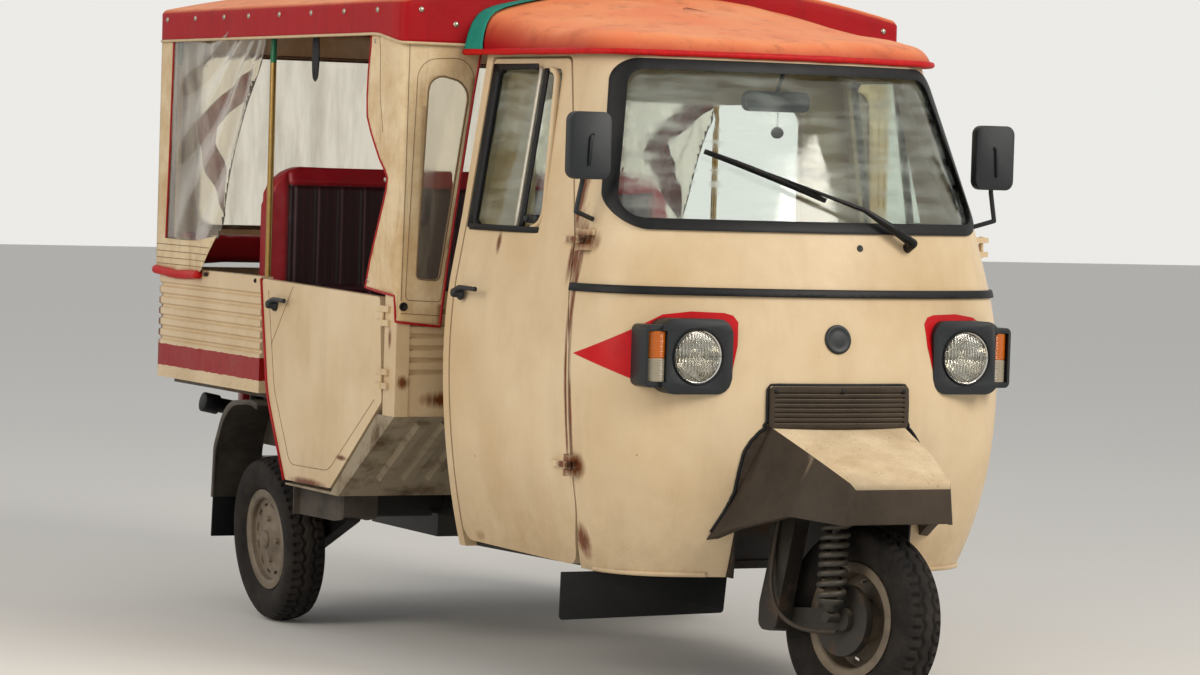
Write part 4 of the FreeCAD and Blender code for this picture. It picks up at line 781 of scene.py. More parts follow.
indicator_acrylic, tree, shader = finish_of("ribbed_acrylic", "amber_plastic", Transmission_Weight=0.35, Roughness=0.14,
                                            IOR=1.49)
# Moulded acrylic: glassy amber in the upper half, water-clear below, with a rib every four millimetres.
LENS_SPLIT = 0.868
LENS_RIB = 0.004
height = add(tree, "SeparateXYZ", add(tree, "TexCoord").outputs["Object"]).outputs["Z"]
upper = add(tree, "Math", height, LENS_SPLIT, operation="GREATER_THAN")
feed(shader, Base_Color=add(tree, "MixRGB", upper, "#B9AE96", "#E0720E"))

INDICATOR_PLAN = [(0.4698, -1.168), (0.4698, -1.1900), (0.4735, -1.1925), (0.4850, -1.1915), (0.4980, -1.1880),
                  (0.5080, -1.1815), (0.5133, -1.1725), (0.5140, -1.1610)]
INDICATOR_ROWS = 125
for side, name in SIDES:
    points = []
    for row in range(INDICATOR_ROWS):
        height = 0.8113 + 0.1234 * row / (INDICATOR_ROWS - 1)
        proud = -0.0018 if abs(height - LENS_SPLIT) < 0.0015 else 0.0007 * math.cos(2 * math.pi * height / LENS_RIB)
        if row in (0, INDICATOR_ROWS - 1):
            proud -= 0.0035
        for x, y in INDICATOR_PLAN:
            outward = Vector((x - 0.4900, y + 1.163, 0)).normalized() * proud
            points.append(Vector((side * (x + outward.x), y + outward.y, height)))
    faces = [face[::-side] for face in woven_faces(INDICATOR_ROWS, len(INDICATOR_PLAN), caps=1)]
    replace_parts(piece_of("indicator_" + name, points, faces, indicator_acrylic), "indicator_lenses")


# Front mudguard, flaps and mirrors
# The mudguard with its vent grille is moulded in grey-brown polyethylene, bleached tan and dusty where it faces up, and
# painted pale as sunlit on top and dark as painted shade on its sides.
# The flaps are cut from rubber sheet, and the mirrors' shells are moulded round a bent steel stem.

grey_plastic, tree, shader = finish_of("faded_sunlit_grey_polyethylene", "grey_plastic", Roughness=0.62,
                                       Specular_IOR_Level=0.2)
place = add(tree, "TexCoord").outputs["Object"]
# Painted light: faces turned up get a pale sunlit tan and the others a dark painted shade, over the real bleaching.
facing = add(tree, "SeparateXYZ", add(tree, "NewGeometry").outputs["Normal"]).outputs["Z"]
sunlit_top_share = add(tree, "MapRange", facing, 0.42, 0.80, 0.0, 0.95)
blotches = add(tree, "TexNoise", Vector=place, Scale=6.0, Detail=9.0, Roughness=0.68)
blotch_share = add(tree, "MapRange", blotches, 0.35, 0.68)
painted_shade_colour = add(tree, "MixRGB", blotch_share, "#332B23", "#463C31")
sunlit_bleached_colour = add(tree, "MixRGB", blotch_share, "#E6D0AC", "#C4AC88")
scuffs = add(tree, "TexNoise", Vector=place, Scale=130.0, Detail=5.0)
scuff_share = add(tree, "MapRange", scuffs, 0.64, 0.72, 0.0, 0.6)
feed(shader, Base_Color=add(tree, "MixRGB", scuff_share, add(tree, "MixRGB", sunlit_top_share, painted_shade_colour, sunlit_bleached_colour), "#3E352A"),
     Normal=add(tree, "Bump", Height=scuffs, Strength=0.25, Distance=0.0015))

softened("front_mudguard", "front_mudguard_shell", grey_plastic, 0.007)
flap_sheets = copy_of("mud_flaps", "mud_flap_sheets")
work = bmesh.new()
work.from_mesh(flap_sheets.data)
bmesh.ops.delete(work, geom=[v for v in work.verts if v.co.x > 0 and v.co.y < 0], context="VERTS")
work.to_mesh(flap_sheets.data)
work.free()
soften(flap_sheets, 0.0012)
stand_for(flap_sheets, "mud_flaps", black_rubber)
stub = piece_of("torn_flap_stub", [Vector((x, y, z)) for y in (-0.942, -0.938) for x, z in (
    (0.145, 0.318), (0.150, 0.212), (0.330, 0.214), (0.345, 0.318))],
    [face[::-1] for face in woven_faces(2, 4, close_columns=True, caps=1)], black_rubber, smooth=False)
soften(stub, 0.0012)


def on_side(side, points):
    """Points of the right side as they are, or mirrored for the left."""
    return [Vector((-side * point.x, point.y, point.z)) for point in points]


guard_mesh = cad["front_mudguard"].data
guard_skin = BVHTree.FromPolygons([vertex.co for vertex in guard_mesh.vertices],
                                  [tuple(face.vertices) for face in guard_mesh.polygons])
side_edge = []
for number in range(39):
    for depth in range(110):
        hit = guard_skin.ray_cast(Vector((-1.0, -0.92 - 0.003 * depth, 0.440 + 0.007 * number)), Vector((1, 0, 0)))[0]
        if hit is not None:
            side_edge.append(hit + Vector((-0.001, 0.001, 0)))
            break
FLANGE_OUT = [(0.500, 0.0), (0.540, 0.004), (0.590, 0.022), (0.640, 0.036), (0.665, 0.033), (0.690, 0.022),
              (0.715, 0.0)]
FLANGE_STEPS = 4
flange_points, outer_edge = [], []
for inner in side_edge:
    if inner.z < 0.505:
        outer_edge.append(inner)
        continue
    low, high = next(pair for pair in zip(FLANGE_OUT, FLANGE_OUT[1:]) if inner.z <= pair[1][0])
    wide = low[1] + (high[1] - low[1]) * (inner.z - low[0]) / (high[0] - low[0])
    laid, _ = on_cab((-0.275, AHEAD_OF_NOSE, inner.z), REARWARD, 0.003)
    slope = (laid.y - inner.y) / (inner.x + 0.275)
    row = [inner + Vector((0.006 - (wide + 0.006) * share, slope * wide * share - 0.001, 0))
           for share in (step / FLANGE_STEPS for step in range(FLANGE_STEPS + 1))]
    flange_points += row + [point + Vector((0, 0.003, 0)) for point in reversed(row)]
    outer_edge.append(row[-1] + Vector((0, 0.001, 0)))
flange_round = 2 * (FLANGE_STEPS + 1)
flange_faces = woven_faces(len(flange_points) // flange_round, flange_round, close_columns=True, caps=-1)
for side, name in SIDES:
    piece_of("mudguard_flange_" + name, on_side(side, flange_points), [face[::-side] for face in flange_faces],
             grey_plastic)
trim_route = outer_edge + [on_cab((x, AHEAD_OF_NOSE, height), REARWARD, 0.0025)[0] for x, height in
                           [(-0.199, 0.715), (-0.199, 0.760), (-0.198, 0.795), (-0.190, 0.8045)]
                           + [(0.19 * step / 10, 0.8055) for step in range(-9, 1)]]
swept("mudguard_edging", trim_route + on_side(1, trim_route[-2::-1]), 0.0046, black_rubber, 8)
for x in (-0.180, 0.180, 0.0):
    lathe("vent_screw_" + str(round(1000 * x)).replace("-", "r"),
          [(-0.003, 0.006), (0.0015, 0.006), (0.003, 0.004), (0.0033, 0.0)],
          *on_cab((x, AHEAD_OF_NOSE, 0.790), REARWARD, 0.0115), wiper_steel, 16)

softened("mirrors", "mirror_shells", black_plastic, 0.006)
mirror_silver, tree, shader = finish_of("silvered_mirror_glass", "glass", Base_Color="#C9CDD0", Metallic=1.0)
# Silvered glass: a plain mirror, slightly grey.
smear = add(tree, "TexNoise", Vector=add(tree, "TexCoord").outputs["Object"], Scale=18.0, Detail=6.0)
feed(shader, Roughness=add(tree, "MapRange", smear, 0.4, 0.8, 0.0, 0.2))


def mirror_glass(name, centre, half_x, half_z, corner, deep, shrink):
    """A thin pane with round corners, a little smaller at its face, which lies deeper by so much."""
    plate = []
    for way_x, way_z, start in ((1, 1, 0), (-1, 1, 90), (-1, -1, 180), (1, -1, 270)):
        for angle in (math.radians(start + 15 * step) for step in range(7)):
            plate.append((way_x * (half_x - corner) + corner * math.cos(angle),
                          way_z * (half_z - corner) + corner * math.sin(angle)))
    points = [Vector(centre) + Vector((x, 0, z)) for x, z in plate]
    points += [Vector(centre) + Vector((x * shrink[0], deep, z * shrink[1])) for x, z in plate]
    faces = [face[::-1] for face in woven_faces(2, len(plate), close_columns=True)]
    piece_of(name, points, faces + [tuple(range(len(plate), 2 * len(plate)))], mirror_silver, smooth=False)


for side, name in SIDES:
    mirror_glass("mirror_glass_" + name, (side * 0.585, -0.9575, 1.379), 0.050, 0.077, 0.020, 0.0012, (0.98, 0.98))
    swept("mirror_bracket_" + name, [Vector((side * x, y, z)) for x, y, z in (
        (0.589, -0.9875, 1.330), (0.587, -0.9905, 1.372), (0.585, -0.9905, 1.402), (0.579, -0.9875, 1.406))],
        0.0038, black_plastic)
mirror_glass("inside_mirror_glass", (0.0, -0.8492, 1.504), 0.088, 0.022, 0.016, 0.0006, (0.98, 0.96))
swept("bead_thread", [Vector((0.0, y, z)) for y, z in ((-0.872, 1.482), (-0.8725, 1.462), (-0.872, 1.440))], 0.0010,
      wiper_steel, 6)
lathe("hanging_bead", [(0.0, 0.0), (0.002, 0.009), (0.009, 0.0155), (0.0165, 0.0165), (0.024, 0.0128), (0.030, 0.005),
                       (0.0308, 0.0)], (0.0, -0.872, 1.410), (0, 0, 1), wiper_steel, 24)


# Cab doors
# Each door is a pressed steel panel with a sash of two sliding panes in a black channel and a bright divider.
# It hangs on rusty strap hinges and shuts with a black lever handle; everything here moves with its door.

door_enamel_right = enamel("cream_enamel_right_door", (
    ((-0.600, -0.910, 0.75), (0.05, 0.012, 0.42)), ((-0.590, -0.880, 1.10), (0.05, 0.022, 0.10)),
    ((-0.590, -0.915, 1.147), (0.09, 0.05, 0.022)), ((-0.600, -0.915, 0.589), (0.09, 0.05, 0.022)),
    ((-0.600, -0.500, 1.125), (0.05, 0.020, 0.045)), ((-0.600, -0.915, 0.585), (0.05, 0.02, 0.05)),
    ((-0.610, -0.890, 0.40), (0.06, 0.04, 0.09)), ((-0.610, -0.400, 0.36), (0.06, 0.06, 0.03))))
lay(door_enamel_right, "door_right")
lay(enamel("cream_enamel_left_door", (
    ((0.600, -0.905, 0.75), (0.05, 0.018, 0.42)), ((0.590, -0.880, 1.10), (0.05, 0.022, 0.10)),
    ((0.610, -0.890, 0.40), (0.06, 0.04, 0.09)))), "door_left")

divider_paint = clouded("bright_anodised_aluminium", "canopy_tube", "#D9D4C6", "#A59D8A", 90.0, 5.0, gloss=0.4,
                        metal=0.35)[0]
# Anodised aluminium section: pale satin metal, dulled and scratched.


def lever_handle(name, pivot, side, long, node):
    """A lock handle: a round boss on the skin and a lever that runs forward from it."""
    body = body_of(cad[node])[0]
    boss = lathe(name + "_boss", [(0.0, 0.0190), (0.006, 0.0190), (0.009, 0.0165), (0.012, 0.0125), (0.024, 0.0120),
                                  (0.028, 0.0095), (0.0285, 0.0)], pivot, (side, 0, 0), black_plastic, 32, body)
    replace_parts(boss, node)
    rises = [(0.000, 0.000, 0.0085), (0.010, 0.009, 0.0082), (0.026, 0.014, 0.0072), (0.055, 0.015, 0.0060),
             (long - 0.010, 0.014, 0.0058), (long - 0.003, 0.014, 0.0066), (long, 0.014, 0.0045)]
    route = [Vector(pivot) + Vector((side * 0.019, -ahead, rise)) for ahead, rise, _ in rises]
    swept(name + "_lever", route, [thick for _, _, thick in rises], black_plastic, 14, body)


WINDOW_FOOT, WINDOW_HEAD = (1.186, 0.597), (1.610, 0.533)


def on_flank(y, height, proud):
    """A point off the right door window's plane, which leans inward and narrows toward the front."""
    share = (height - WINDOW_FOOT[0]) / (WINDOW_HEAD[0] - WINDOW_FOOT[0])
    lean = WINDOW_FOOT[1] + (WINDOW_HEAD[1] - WINDOW_FOOT[1]) * share
    taper = 0.055 * max(0.0, (-0.30 - y) / 0.56) ** 2.0
    return Vector((taper - lean - proud, y, height))


BAR_SECTION = [(-0.5, 0.0), (-0.5, 0.7), (-0.35, 1.0), (0.35, 1.0), (0.5, 0.7), (0.5, 0.0)]


def bar(name, route, wide, deep, material, body="chassis"):
    """A flat bar along a route on the flank: wide along the skin, deep through it, with eased edges."""
    points = []
    for index, here in enumerate(route):
        along = (route[min(index + 1, len(route) - 1)] - route[max(index - 1, 0)]).normalized()
        across = along.cross(Vector((math.copysign(1, here.x), 0, 0))).normalized()
        outward = across.cross(along).normalized()
        points += [here + across * (wide * a) + outward * (deep * b) for a, b in BAR_SECTION]
    faces = woven_faces(len(route), len(BAR_SECTION), close_columns=True, caps=1)
    return piece_of(name, points, faces, material, body)


def rounded_route(corners, radii):
    """The points of a closed outline whose corners are rounded."""
    route = []
    for index, (corner, radius) in enumerate(zip(corners, radii)):
        here = Vector(corner)
        to_last = (Vector(corners[index - 1]) - here).normalized()
        to_next = (Vector(corners[(index + 1) % len(corners)]) - here).normalized()
        half = to_last.angle(to_next) / 2
        reach = radius / math.tan(half)
        centre = here + (to_last + to_next).normalized() * (radius / math.sin(half))
        for step in range(7):
            point = (here + to_last * reach).lerp(here + to_next * reach, step / 6)
            route.append(tuple(centre + (point - centre).normalized() * radius))
    return route


CHANNEL_IN = 0.0045
SASH_SPLIT, SASH_MIDDLE = -0.585, 1.37
CHANNEL = rounded_route([(-0.348, 1.168), (-0.697, 1.168), (-0.645, 1.569), (-0.348, 1.569)], [0.02, 0.045, 0.03, 0.02])
channel = [on_flank(y, height, -CHANNEL_IN) for y, height in CHANNEL]
fore = [point for point in channel if point.y < SASH_SPLIT]
aft = sorted((point for point in channel if point.y >= SASH_SPLIT),
             key=lambda point: (point.z <= SASH_MIDDLE, point.y if point.z > SASH_MIDDLE else -point.y))
SASH_BARS = (
    ("rear", (-0.334, 1.160), (-0.334, 1.585), 12, 0.0005, 0.030, 0.004, black_rubber),
    ("head", (-0.334, 1.577), (-0.560, 1.577), 12, 0.0, 0.016, 0.004, black_rubber),
    ("sill", (-0.334, 1.162), (-0.690, 1.162), 12, 0.0, 0.016, 0.005, black_rubber),
    ("divider", (-0.575, 1.166), (-0.575, 1.572), 10, -CHANNEL_IN, 0.013, 0.008, divider_paint),
    ("stile", (-0.597, 1.166), (-0.597, 1.572), 10, -0.0055, 0.024, 0.006, black_rubber),
    ("catch", (-0.618, 1.190), (-0.672, 1.190), 4, -0.0055, 0.022, 0.007, wiper_steel))
for side, name in SIDES:
    body = "door_" + name
    swept("sash_channel_" + name, on_side(side, aft), 0.0085, black_rubber, body=body)
    swept("sash_front_rim_" + name, on_side(side, fore), 0.0080, door_enamel_right, body=body)
    for part, start, end, steps, proud, wide, deep, material in SASH_BARS:
        line = [on_flank(start[0] + (end[0] - start[0]) * step / steps,
                         start[1] + (end[1] - start[1]) * step / steps, proud) for step in range(steps + 1)]
        bar(f"sash_{part}_{name}", on_side(side, line), wide, deep, material, body)
    for number, y in enumerate((-0.622, -0.668)):
        lathe(f"sash_knob_{name}_{number}", [(0.0, 0.0085), (0.006, 0.0085), (0.009, 0.006), (0.0095, 0.0)],
              on_side(side, [on_flank(y, 1.190, -0.0025)])[0], (side, 0, 0), black_plastic, 20, body)
    lever_handle("door_" + name, (side * 0.6360, -0.366, 0.990), side, 0.125, "door_handle_" + name)


# Passenger body
# The body's boards are pressed sheet steel with rolled ribs, cream over a brushed red band, riveted to the floor.
# The half door is a flat panel with a red piped rear edge; it is darker towards the bottom, and paint loss gathers
# there.

board_enamel = enamel("cream_enamel_boards", (
    ((-0.745, 1.565, 0.82), (0.04, 0.018, 0.20)), ((-0.745, 1.180, 0.978), (0.04, 0.035, 0.014)),
    ((-0.745, 1.060, 0.720), (0.04, 0.006, 0.020)), ((-0.745, 0.960, 0.735), (0.04, 0.005, 0.010))),
    red_band=(0.690, 0.754), darkening_top=0.70)
lay(board_enamel, "side_boards")
# The headboard and tailgate are darkened brown nearly to their top: painted shade, for the headboard's face that stands
# in shade.
lay(enamel("cream_enamel_headboard_painted_shade", (
    ((-0.600, -0.190, 0.700), (0.10, 0.04, 0.035)), ((-0.715, -0.190, 0.745), (0.03, 0.04, 0.030)),
    ((-0.730, -0.150, 0.86), (0.03, 0.02, 0.05))), darkening_top=0.98), "headboard", "tailgate")
lay(enamel("cream_enamel_half_door", (
    ((-0.740, 0.380, 0.432), (0.03, 0.190, 0.022)), ((-0.740, 0.150, 0.520), (0.03, 0.060, 0.012)),
    ((-0.740, -0.105, 0.835), (0.03, 0.012, 0.05))), darkening_top=0.55), "passenger_door")
# The footwell's cream is painted dark grey-brown: road dust, and painted shade for its shadowed recess.
lay(road_steel("dusty_cream_steel_painted_shade", "#93856D", "#5B4933", 0.12), "footwell")
lay(road_steel("scuffed_floor_steel", "#4A4338", "#6B4D33", 0.14), "bed_floor")

BOARD_X = 0.7400


def studs(name, places, radius, high, material, around=12):
    """Many small domed studs or rivets in one mesh, from (point, outward direction) pairs."""
    points, faces = [], []
    for at, way in places:
        turn = Vector(way).normalized().to_track_quat("Z", "Y").to_matrix()
        first = len(points)
        for along, wide in ((-0.001, 1.0), (0.3 * high, 1.0), (0.75 * high, 0.72), (high, 0.30)):
            for angle in (2 * math.pi * step / around for step in range(around)):
                points.append(Vector(at) + turn @ Vector((radius * wide * math.cos(angle),
                                                          radius * wide * math.sin(angle), along)))
        faces += [[first + corner for corner in face[::-1]] for face in woven_faces(4, around, close_columns=True)]
        faces.append(range(len(points) - around, len(points)))
    return piece_of(name, points, faces, material)


for side, name, first, count in ((-1, "right", 0.80, 13), (1, "left", -0.06, 28)):
    studs("board_rivets_" + name, [((side * BOARD_X, first + 0.06 * number, 0.669), (side, 0, 0))
                                   for number in range(count)], 0.0042, 0.0018, board_enamel)
studs("board_latch", [((-BOARD_X, y, height), (-1, 0, 0)) for y, height in (
    (1.180, 0.974), (1.195, 0.974), (0.800, 0.972))], 0.0065, 0.006, wiper_steel)


def side_route(corners, x, radius=0.02):
    """An open route on a flank, its corners rounded."""
    route = [Vector(corners[0])]
    for before, here, after in zip(corners, corners[1:], corners[2:]):
        here = Vector(here)
        back = (Vector(before) - here).normalized() * radius
        ahead = (Vector(after) - here).normalized() * radius
        route += [here + back * (1 - step / 5) ** 2 + ahead * (step / 5) ** 2 for step in range(6)]
    route.append(Vector(corners[-1]))
    return [Vector((x, *point)) for point in route]


red_piping = clouded("red_welt_vinyl", "red_canvas", "#800A10", "#B50F18", 35.0, 5.0, gloss=0.4, shine=0.25)[0]
# PVC welt cord: strong red and glossy, browned by dirt on its underside.

thread = clouded("brown_sewing_thread", "curtain_vinyl", "#5E4A33", "#8A7354", 300.0, 2.0, gloss=0.9)[0]
# Bonded nylon thread, brown with age, sunk into its seam.

swept("half_door_piping", side_route([(0.7535, 0.9800), (0.6895, 0.6600), (0.5475, 0.4270)], -0.7415, 0.05), 0.0045,
      red_piping, 8, "passenger_door")
swept("half_door_crease", side_route([(0.700, 0.948), (0.640, 0.675), (0.512, 0.474), (0.238, 0.478), (-0.060, 0.692)],
                                     -0.7402, 0.03), 0.0009, thread, 6, "passenger_door", "cream_paint")
swept("half_door_diagonal", side_route([(0.520, 0.967), (0.668, 0.800)], -0.7402), 0.0009, thread, 6,
      "passenger_door", "cream_paint")
lever_handle("half_door", (-BOARD_X, 0.646, 0.912), -1, 0.108, "passenger_door_handle")

guard_plastic = clouded("dusty_black_polyethylene", "grey_plastic", "#35302B", "#564E44", 9.0, 8.0, 0.7,
                        (0.35, 0.7, 1.0), 0.62, 0.25, bump=(0.15, 0.002))[0]
# Moulded polyethylene: charcoal, filmed with road dust that thickens in the corners.
softened("rear_mudguards", "rear_guard_shells", guard_plastic, 0.006)
ARCH_WALL = [(0.558, 0.395), (0.558, 0.438), (0.606, 0.520), (0.645, 0.588), (0.700, 0.606), (0.800, 0.624),
             (0.900, 0.619), (0.985, 0.602), (1.035, 0.560), (1.068, 0.487), (0.720, 0.487), (0.665, 0.395)]
for side, name in SIDES:
    piece_of("wheel_arch_wall_" + name, [Vector((side * x, y, z)) for x in (0.5945, 0.5970) for y, z in ARCH_WALL],
             [face[::side] for face in woven_faces(2, len(ARCH_WALL), close_columns=True, caps=1)], guard_plastic,
             smooth=False)
softened("fuel_filler", "filler_neck", black_rubber, 0.003)
softened("dashboard", "dash_moulding", black_plastic, 0.012)

tail_acrylic, tree, shader = finish_of("ruby_acrylic", "amber_plastic", Base_Color="#8C0F12", Roughness=0.15)
# Moulded acrylic lamp lens: deep red, ribbed across.
ribs = add(tree, "TexWave", Vector=add(tree, "TexCoord").outputs["Object"], Scale=80.0, bands_direction="Z")
feed(shader, Normal=add(tree, "Bump", Height=ribs.outputs["Fac"], Strength=0.4, Distance=0.001))
softened("tail_lamps", "tail_lamp_lenses", tail_acrylic, 0.004)


# Seats
# Foam cushions in dark maroon vinyl with pinstriped, sewn channels and bright red borders, on closed boxes.
# Each starts from its CAD solid, is swollen by a cloth simulation, and then gets its seams pressed in.

PINSTRIPES = 0.024


def seat_vinyl(name, *borders):
    """Upholstery vinyl: dark maroon with pinstripes, red beyond each border, an (axis, sign or 0 for both, limit)."""
    material, tree, shader = finish_of(name, "seat_vinyl", Roughness=0.42)
    place = add(tree, "TexCoord").outputs["Object"]
    parts = add(tree, "SeparateXYZ", place)
    stripe = add(tree, "Math", parts.outputs["X"], 2 * math.pi / PINSTRIPES, operation="MULTIPLY")
    stripe = add(tree, "MapRange", add(tree, "Math", stripe, operation="SINE"), 0.93, 0.99)
    mottle = add(tree, "TexNoise", Vector=place, Scale=12.0, Detail=6.0)
    base = add(tree, "MixRGB", stripe, add(tree, "MixRGB", mottle, "#1B080C", "#2E0F15"), "#4A1A20")
    bright = add(tree, "MixRGB", mottle, "#7E0C18", "#A81420")
    for axis, sign, limit in borders:
        if sign == 0:
            signed = add(tree, "Math", parts.outputs[axis], operation="ABSOLUTE")
        else:
            signed = add(tree, "Math", parts.outputs[axis], float(sign), operation="MULTIPLY")
        base = add(tree, "MixRGB", add(tree, "Math", signed, limit, operation="GREATER_THAN"), base, bright)
    pores = add(tree, "TexVoronoi", Vector=place, Scale=700.0)
    feed(shader, Base_Color=base, Normal=add(tree, "Bump", Height=pores, Strength=0.3, Distance=0.0006))
    return material


SWELL_FRAMES = 20


def plumped(node, name, material, voxel, cap):
    """A stuffed copy of a CAD cushion, swollen by a cloth simulation and turned back into plain mesh."""
    made = copy_of(node, name)
    floor_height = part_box(node)[0][2] - 0.001
    even = made.modifiers.new("even", "REMESH")
    even.mode = "VOXEL"
    even.voxel_size = voxel
    settle(made)
    before = [vertex.co.copy() for vertex in made.data.vertices]
    cloth = made.modifiers.new("swell", "CLOTH")
    cloth.settings.use_pressure = True
    cloth.settings.uniform_pressure_force = 4.0
    cloth.settings.effector_weights.gravity = 0.0
    cloth.settings.quality = 4
    for number in range(1, SWELL_FRAMES + 1):
        scene.frame_set(number)
    settle(made)
    scene.frame_set(1)
    for vertex, rest in zip(made.data.vertices, before):
        moved = vertex.co - rest
        if moved.length > cap:
            moved *= cap / moved.length
        vertex.co = rest + moved
        vertex.co.z = max(vertex.co.z, floor_height)
    finer = made.modifiers.new("finer", "SUBSURF")
    finer.levels = finer.render_levels = 1
    settle(made)
    smoothed(made)
    stand_for(made, node, material)
    return made


def press_seams(made, depth_at):
    """Draws a cushion's surface in along its seams by depth_at(point, normal)."""
    normals = [vertex.normal.copy() for vertex in made.data.vertices]
    for vertex, normal in zip(made.data.vertices, normals):
        vertex.co -= normal * depth_at(vertex.co, normal)


def groove(away, width=0.005, depth=0.007):
    """The depth of a rounded seam at a distance from its line."""
    return depth * math.exp(-(away / width) ** 2)


CHANNEL_PITCH, CHANNEL_WIDE, CHANNEL_DEEP = 0.072, 0.0050, 0.0055


def channel_depth(x, edge):
    """The depth of the sewn channels across a cushion, which end at its borders."""
    if abs(x) > edge:
        return 0.0
    return groove((x + CHANNEL_PITCH / 2) % CHANNEL_PITCH - CHANNEL_PITCH / 2, CHANNEL_WIDE, CHANNEL_DEEP)


def seams(across, along, edge, end):
    """The depth of a bench cushion's seams: its channels, its two side borders and its one end border."""
    depth = groove(abs(across) - edge)
    if abs(across) < edge:
        depth += groove(along - end)
    return depth


cushion = plumped("bench_cushion", "bench_seat_pad",
                  seat_vinyl("maroon_vinyl_seat", ("X", 0, 0.600), ("Y", -1, -0.535)), 0.010, 0.016)
press_seams(cushion, lambda at, normal: channel_depth(at.x, 0.598) + seams(at.x, at.y, 0.600, 0.535)
            if normal.z > 0.4 else 0.0)
rest = plumped("bench_back", "bench_back_pad", seat_vinyl("maroon_vinyl_back", ("X", 0, 0.590), ("Z", 1, 1.245)),
               0.010, 0.014)
press_seams(rest, lambda at, normal: channel_depth(at.x, 0.588) * (at.z < 1.243) + seams(at.x, at.z, 0.590, 1.245)
            if normal.y < -0.4 else 0.0)
plumped("tail_pad", "tail_bolster", seat_vinyl("red_vinyl_bolster", ("Z", 1, 0.0)), 0.010, 0.010)
_, (seat_half, _, seat_top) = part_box("driver_seat")
driver_pad = plumped("driver_seat", "driver_seat_pad",
                     seat_vinyl("maroon_vinyl_driver", ("X", 0, seat_half - 0.045), ("Z", 1, seat_top - 0.05)),
                     0.009, 0.014)
press_seams(driver_pad, lambda at, normal: channel_depth(at.x, seat_half - 0.05)
            if abs(normal.x) < 0.4 and at.z < seat_top - 0.055 else 0.0)


# Canopy frame
# Polished brass-coloured tubes stand on the boards and carry the rails; their tops are bound in green tape.
# A black webbing strap hangs from the right rail for passengers to hold.

tube_finish, tree, shader = finish_of("lacquered_brass_tube", Roughness=0.26)
# Lacquered brass tube: warm yellow metal, tarnished in small spots, with a binding of green tape near its top.
TAPE_FOOT, TAPE_HEAD = 1.590, 1.680
place = add(tree, "TexCoord").outputs["Object"]
tarnish = add(tree, "TexNoise", Vector=place, Scale=45.0, Detail=7.0, Roughness=0.7)
height = add(tree, "SeparateXYZ", place).outputs["Z"]
past_tape = add(tree, "Math", height, TAPE_FOOT, operation="GREATER_THAN")
below_rail = add(tree, "Math", height, TAPE_HEAD, operation="LESS_THAN")
taped = add(tree, "Math", past_tape, below_rail, operation="MULTIPLY")
feed(shader, Base_Color=add(tree, "MixRGB", taped, add(tree, "MixRGB", tarnish, "#B99A5E", "#8A6A34"), "#0E6B45"),
     Metallic=add(tree, "MapRange", taped, 0.0, 1.0, 0.9, 0.0))
lay(tube_finish, "canopy_posts", "canopy_rails")

webbing, tree, shader = finish_of("black_nylon_webbing", "black_plastic", Roughness=0.8)
# Woven nylon webbing: black, with a fine twill that catches the light.
twill = add(tree, "TexWave", Vector=add(tree, "TexCoord").outputs["Object"], Scale=260.0, bands_direction="DIAGONAL")
feed(shader, Base_Color=add(tree, "MixRGB", twill.outputs["Fac"], "#0F0F10", "#26262A"),
     Normal=add(tree, "Bump", Height=twill.outputs["Fac"], Strength=0.5, Distance=0.0006))
STRAP_MIDDLE = Vector((-0.706, 0.480, 1.607))
turns = [math.pi * (0.5 + step / 12) for step in range(24, -1, -1)]
bar("grab_strap", [STRAP_MIDDLE + Vector((0, 0.011 * math.cos(turn), 0.058 * math.sin(turn))) for turn in turns],
    0.026, 0.0045, webbing)


# Canopy and cab canvas
# PVC-coated canvas, red, bleached orange where the sun falls, with sunlight painted on its top as a paler orange; the
# canopy's valance is bound with a cream welt.
# It is drawn over the rails and sags a little between them, and a second piece is stretched over the cab's roof.

canvas, tree, shader = finish_of("sun_faded_sunlit_red_canvas", "red_canvas", Roughness=0.52, Specular_IOR_Level=0.15)
place = add(tree, "TexCoord").outputs["Object"]
facing = add(tree, "SeparateXYZ", add(tree, "NewGeometry").outputs["Normal"]).outputs["Z"]
# Faces turned up are painted pale orange: real sun bleaching, and painted sunlight over it.
bleach_and_sunlight = add(tree, "MapRange", facing, 0.25, 0.93)
faded = add(tree, "TexNoise", Vector=place, Scale=4.0, Detail=8.0, Roughness=0.6)
side_red = add(tree, "MixRGB", faded, "#8A0810", "#B00E18")
sunlit_bleached_red = add(tree, "MixRGB", faded, "#E2592B", "#F8B57E")
dirt_place = add(tree, "Mapping", Vector=place, Scale=(14.0, 14.0, 3.0))
dirt = add(tree, "TexNoise", Vector=dirt_place, Scale=1.0, Detail=9.0, Roughness=0.7)
dirt_share = add(tree, "MapRange", dirt, 0.52, 0.75, 0.0, 0.45)
weave = add(tree, "TexVoronoi", Vector=place, Scale=900.0)
weave_bump = add(tree, "Bump", Height=weave, Strength=0.3, Distance=0.0006)
creases = add(tree, "TexNoise", Vector=place, Scale=16.0, Detail=4.0)
feed(shader, Base_Color=add(tree, "MixRGB", dirt_share, add(tree, "MixRGB", bleach_and_sunlight, side_red, sunlit_bleached_red), "#5C1A14"),
     Normal=add(tree, "Bump", Height=creases, Strength=0.35, Distance=0.006, Normal=weave_bump))

CANOPY_HALF, CANOPY_FRONT, CANOPY_REAR = 0.7536, -0.2066, 1.5873
EAVE_LOW, EAVE_HIGH, CANOPY_CROWN = 1.660, 1.752, 1.842
BOWS = (-0.160, 0.773, 1.510)


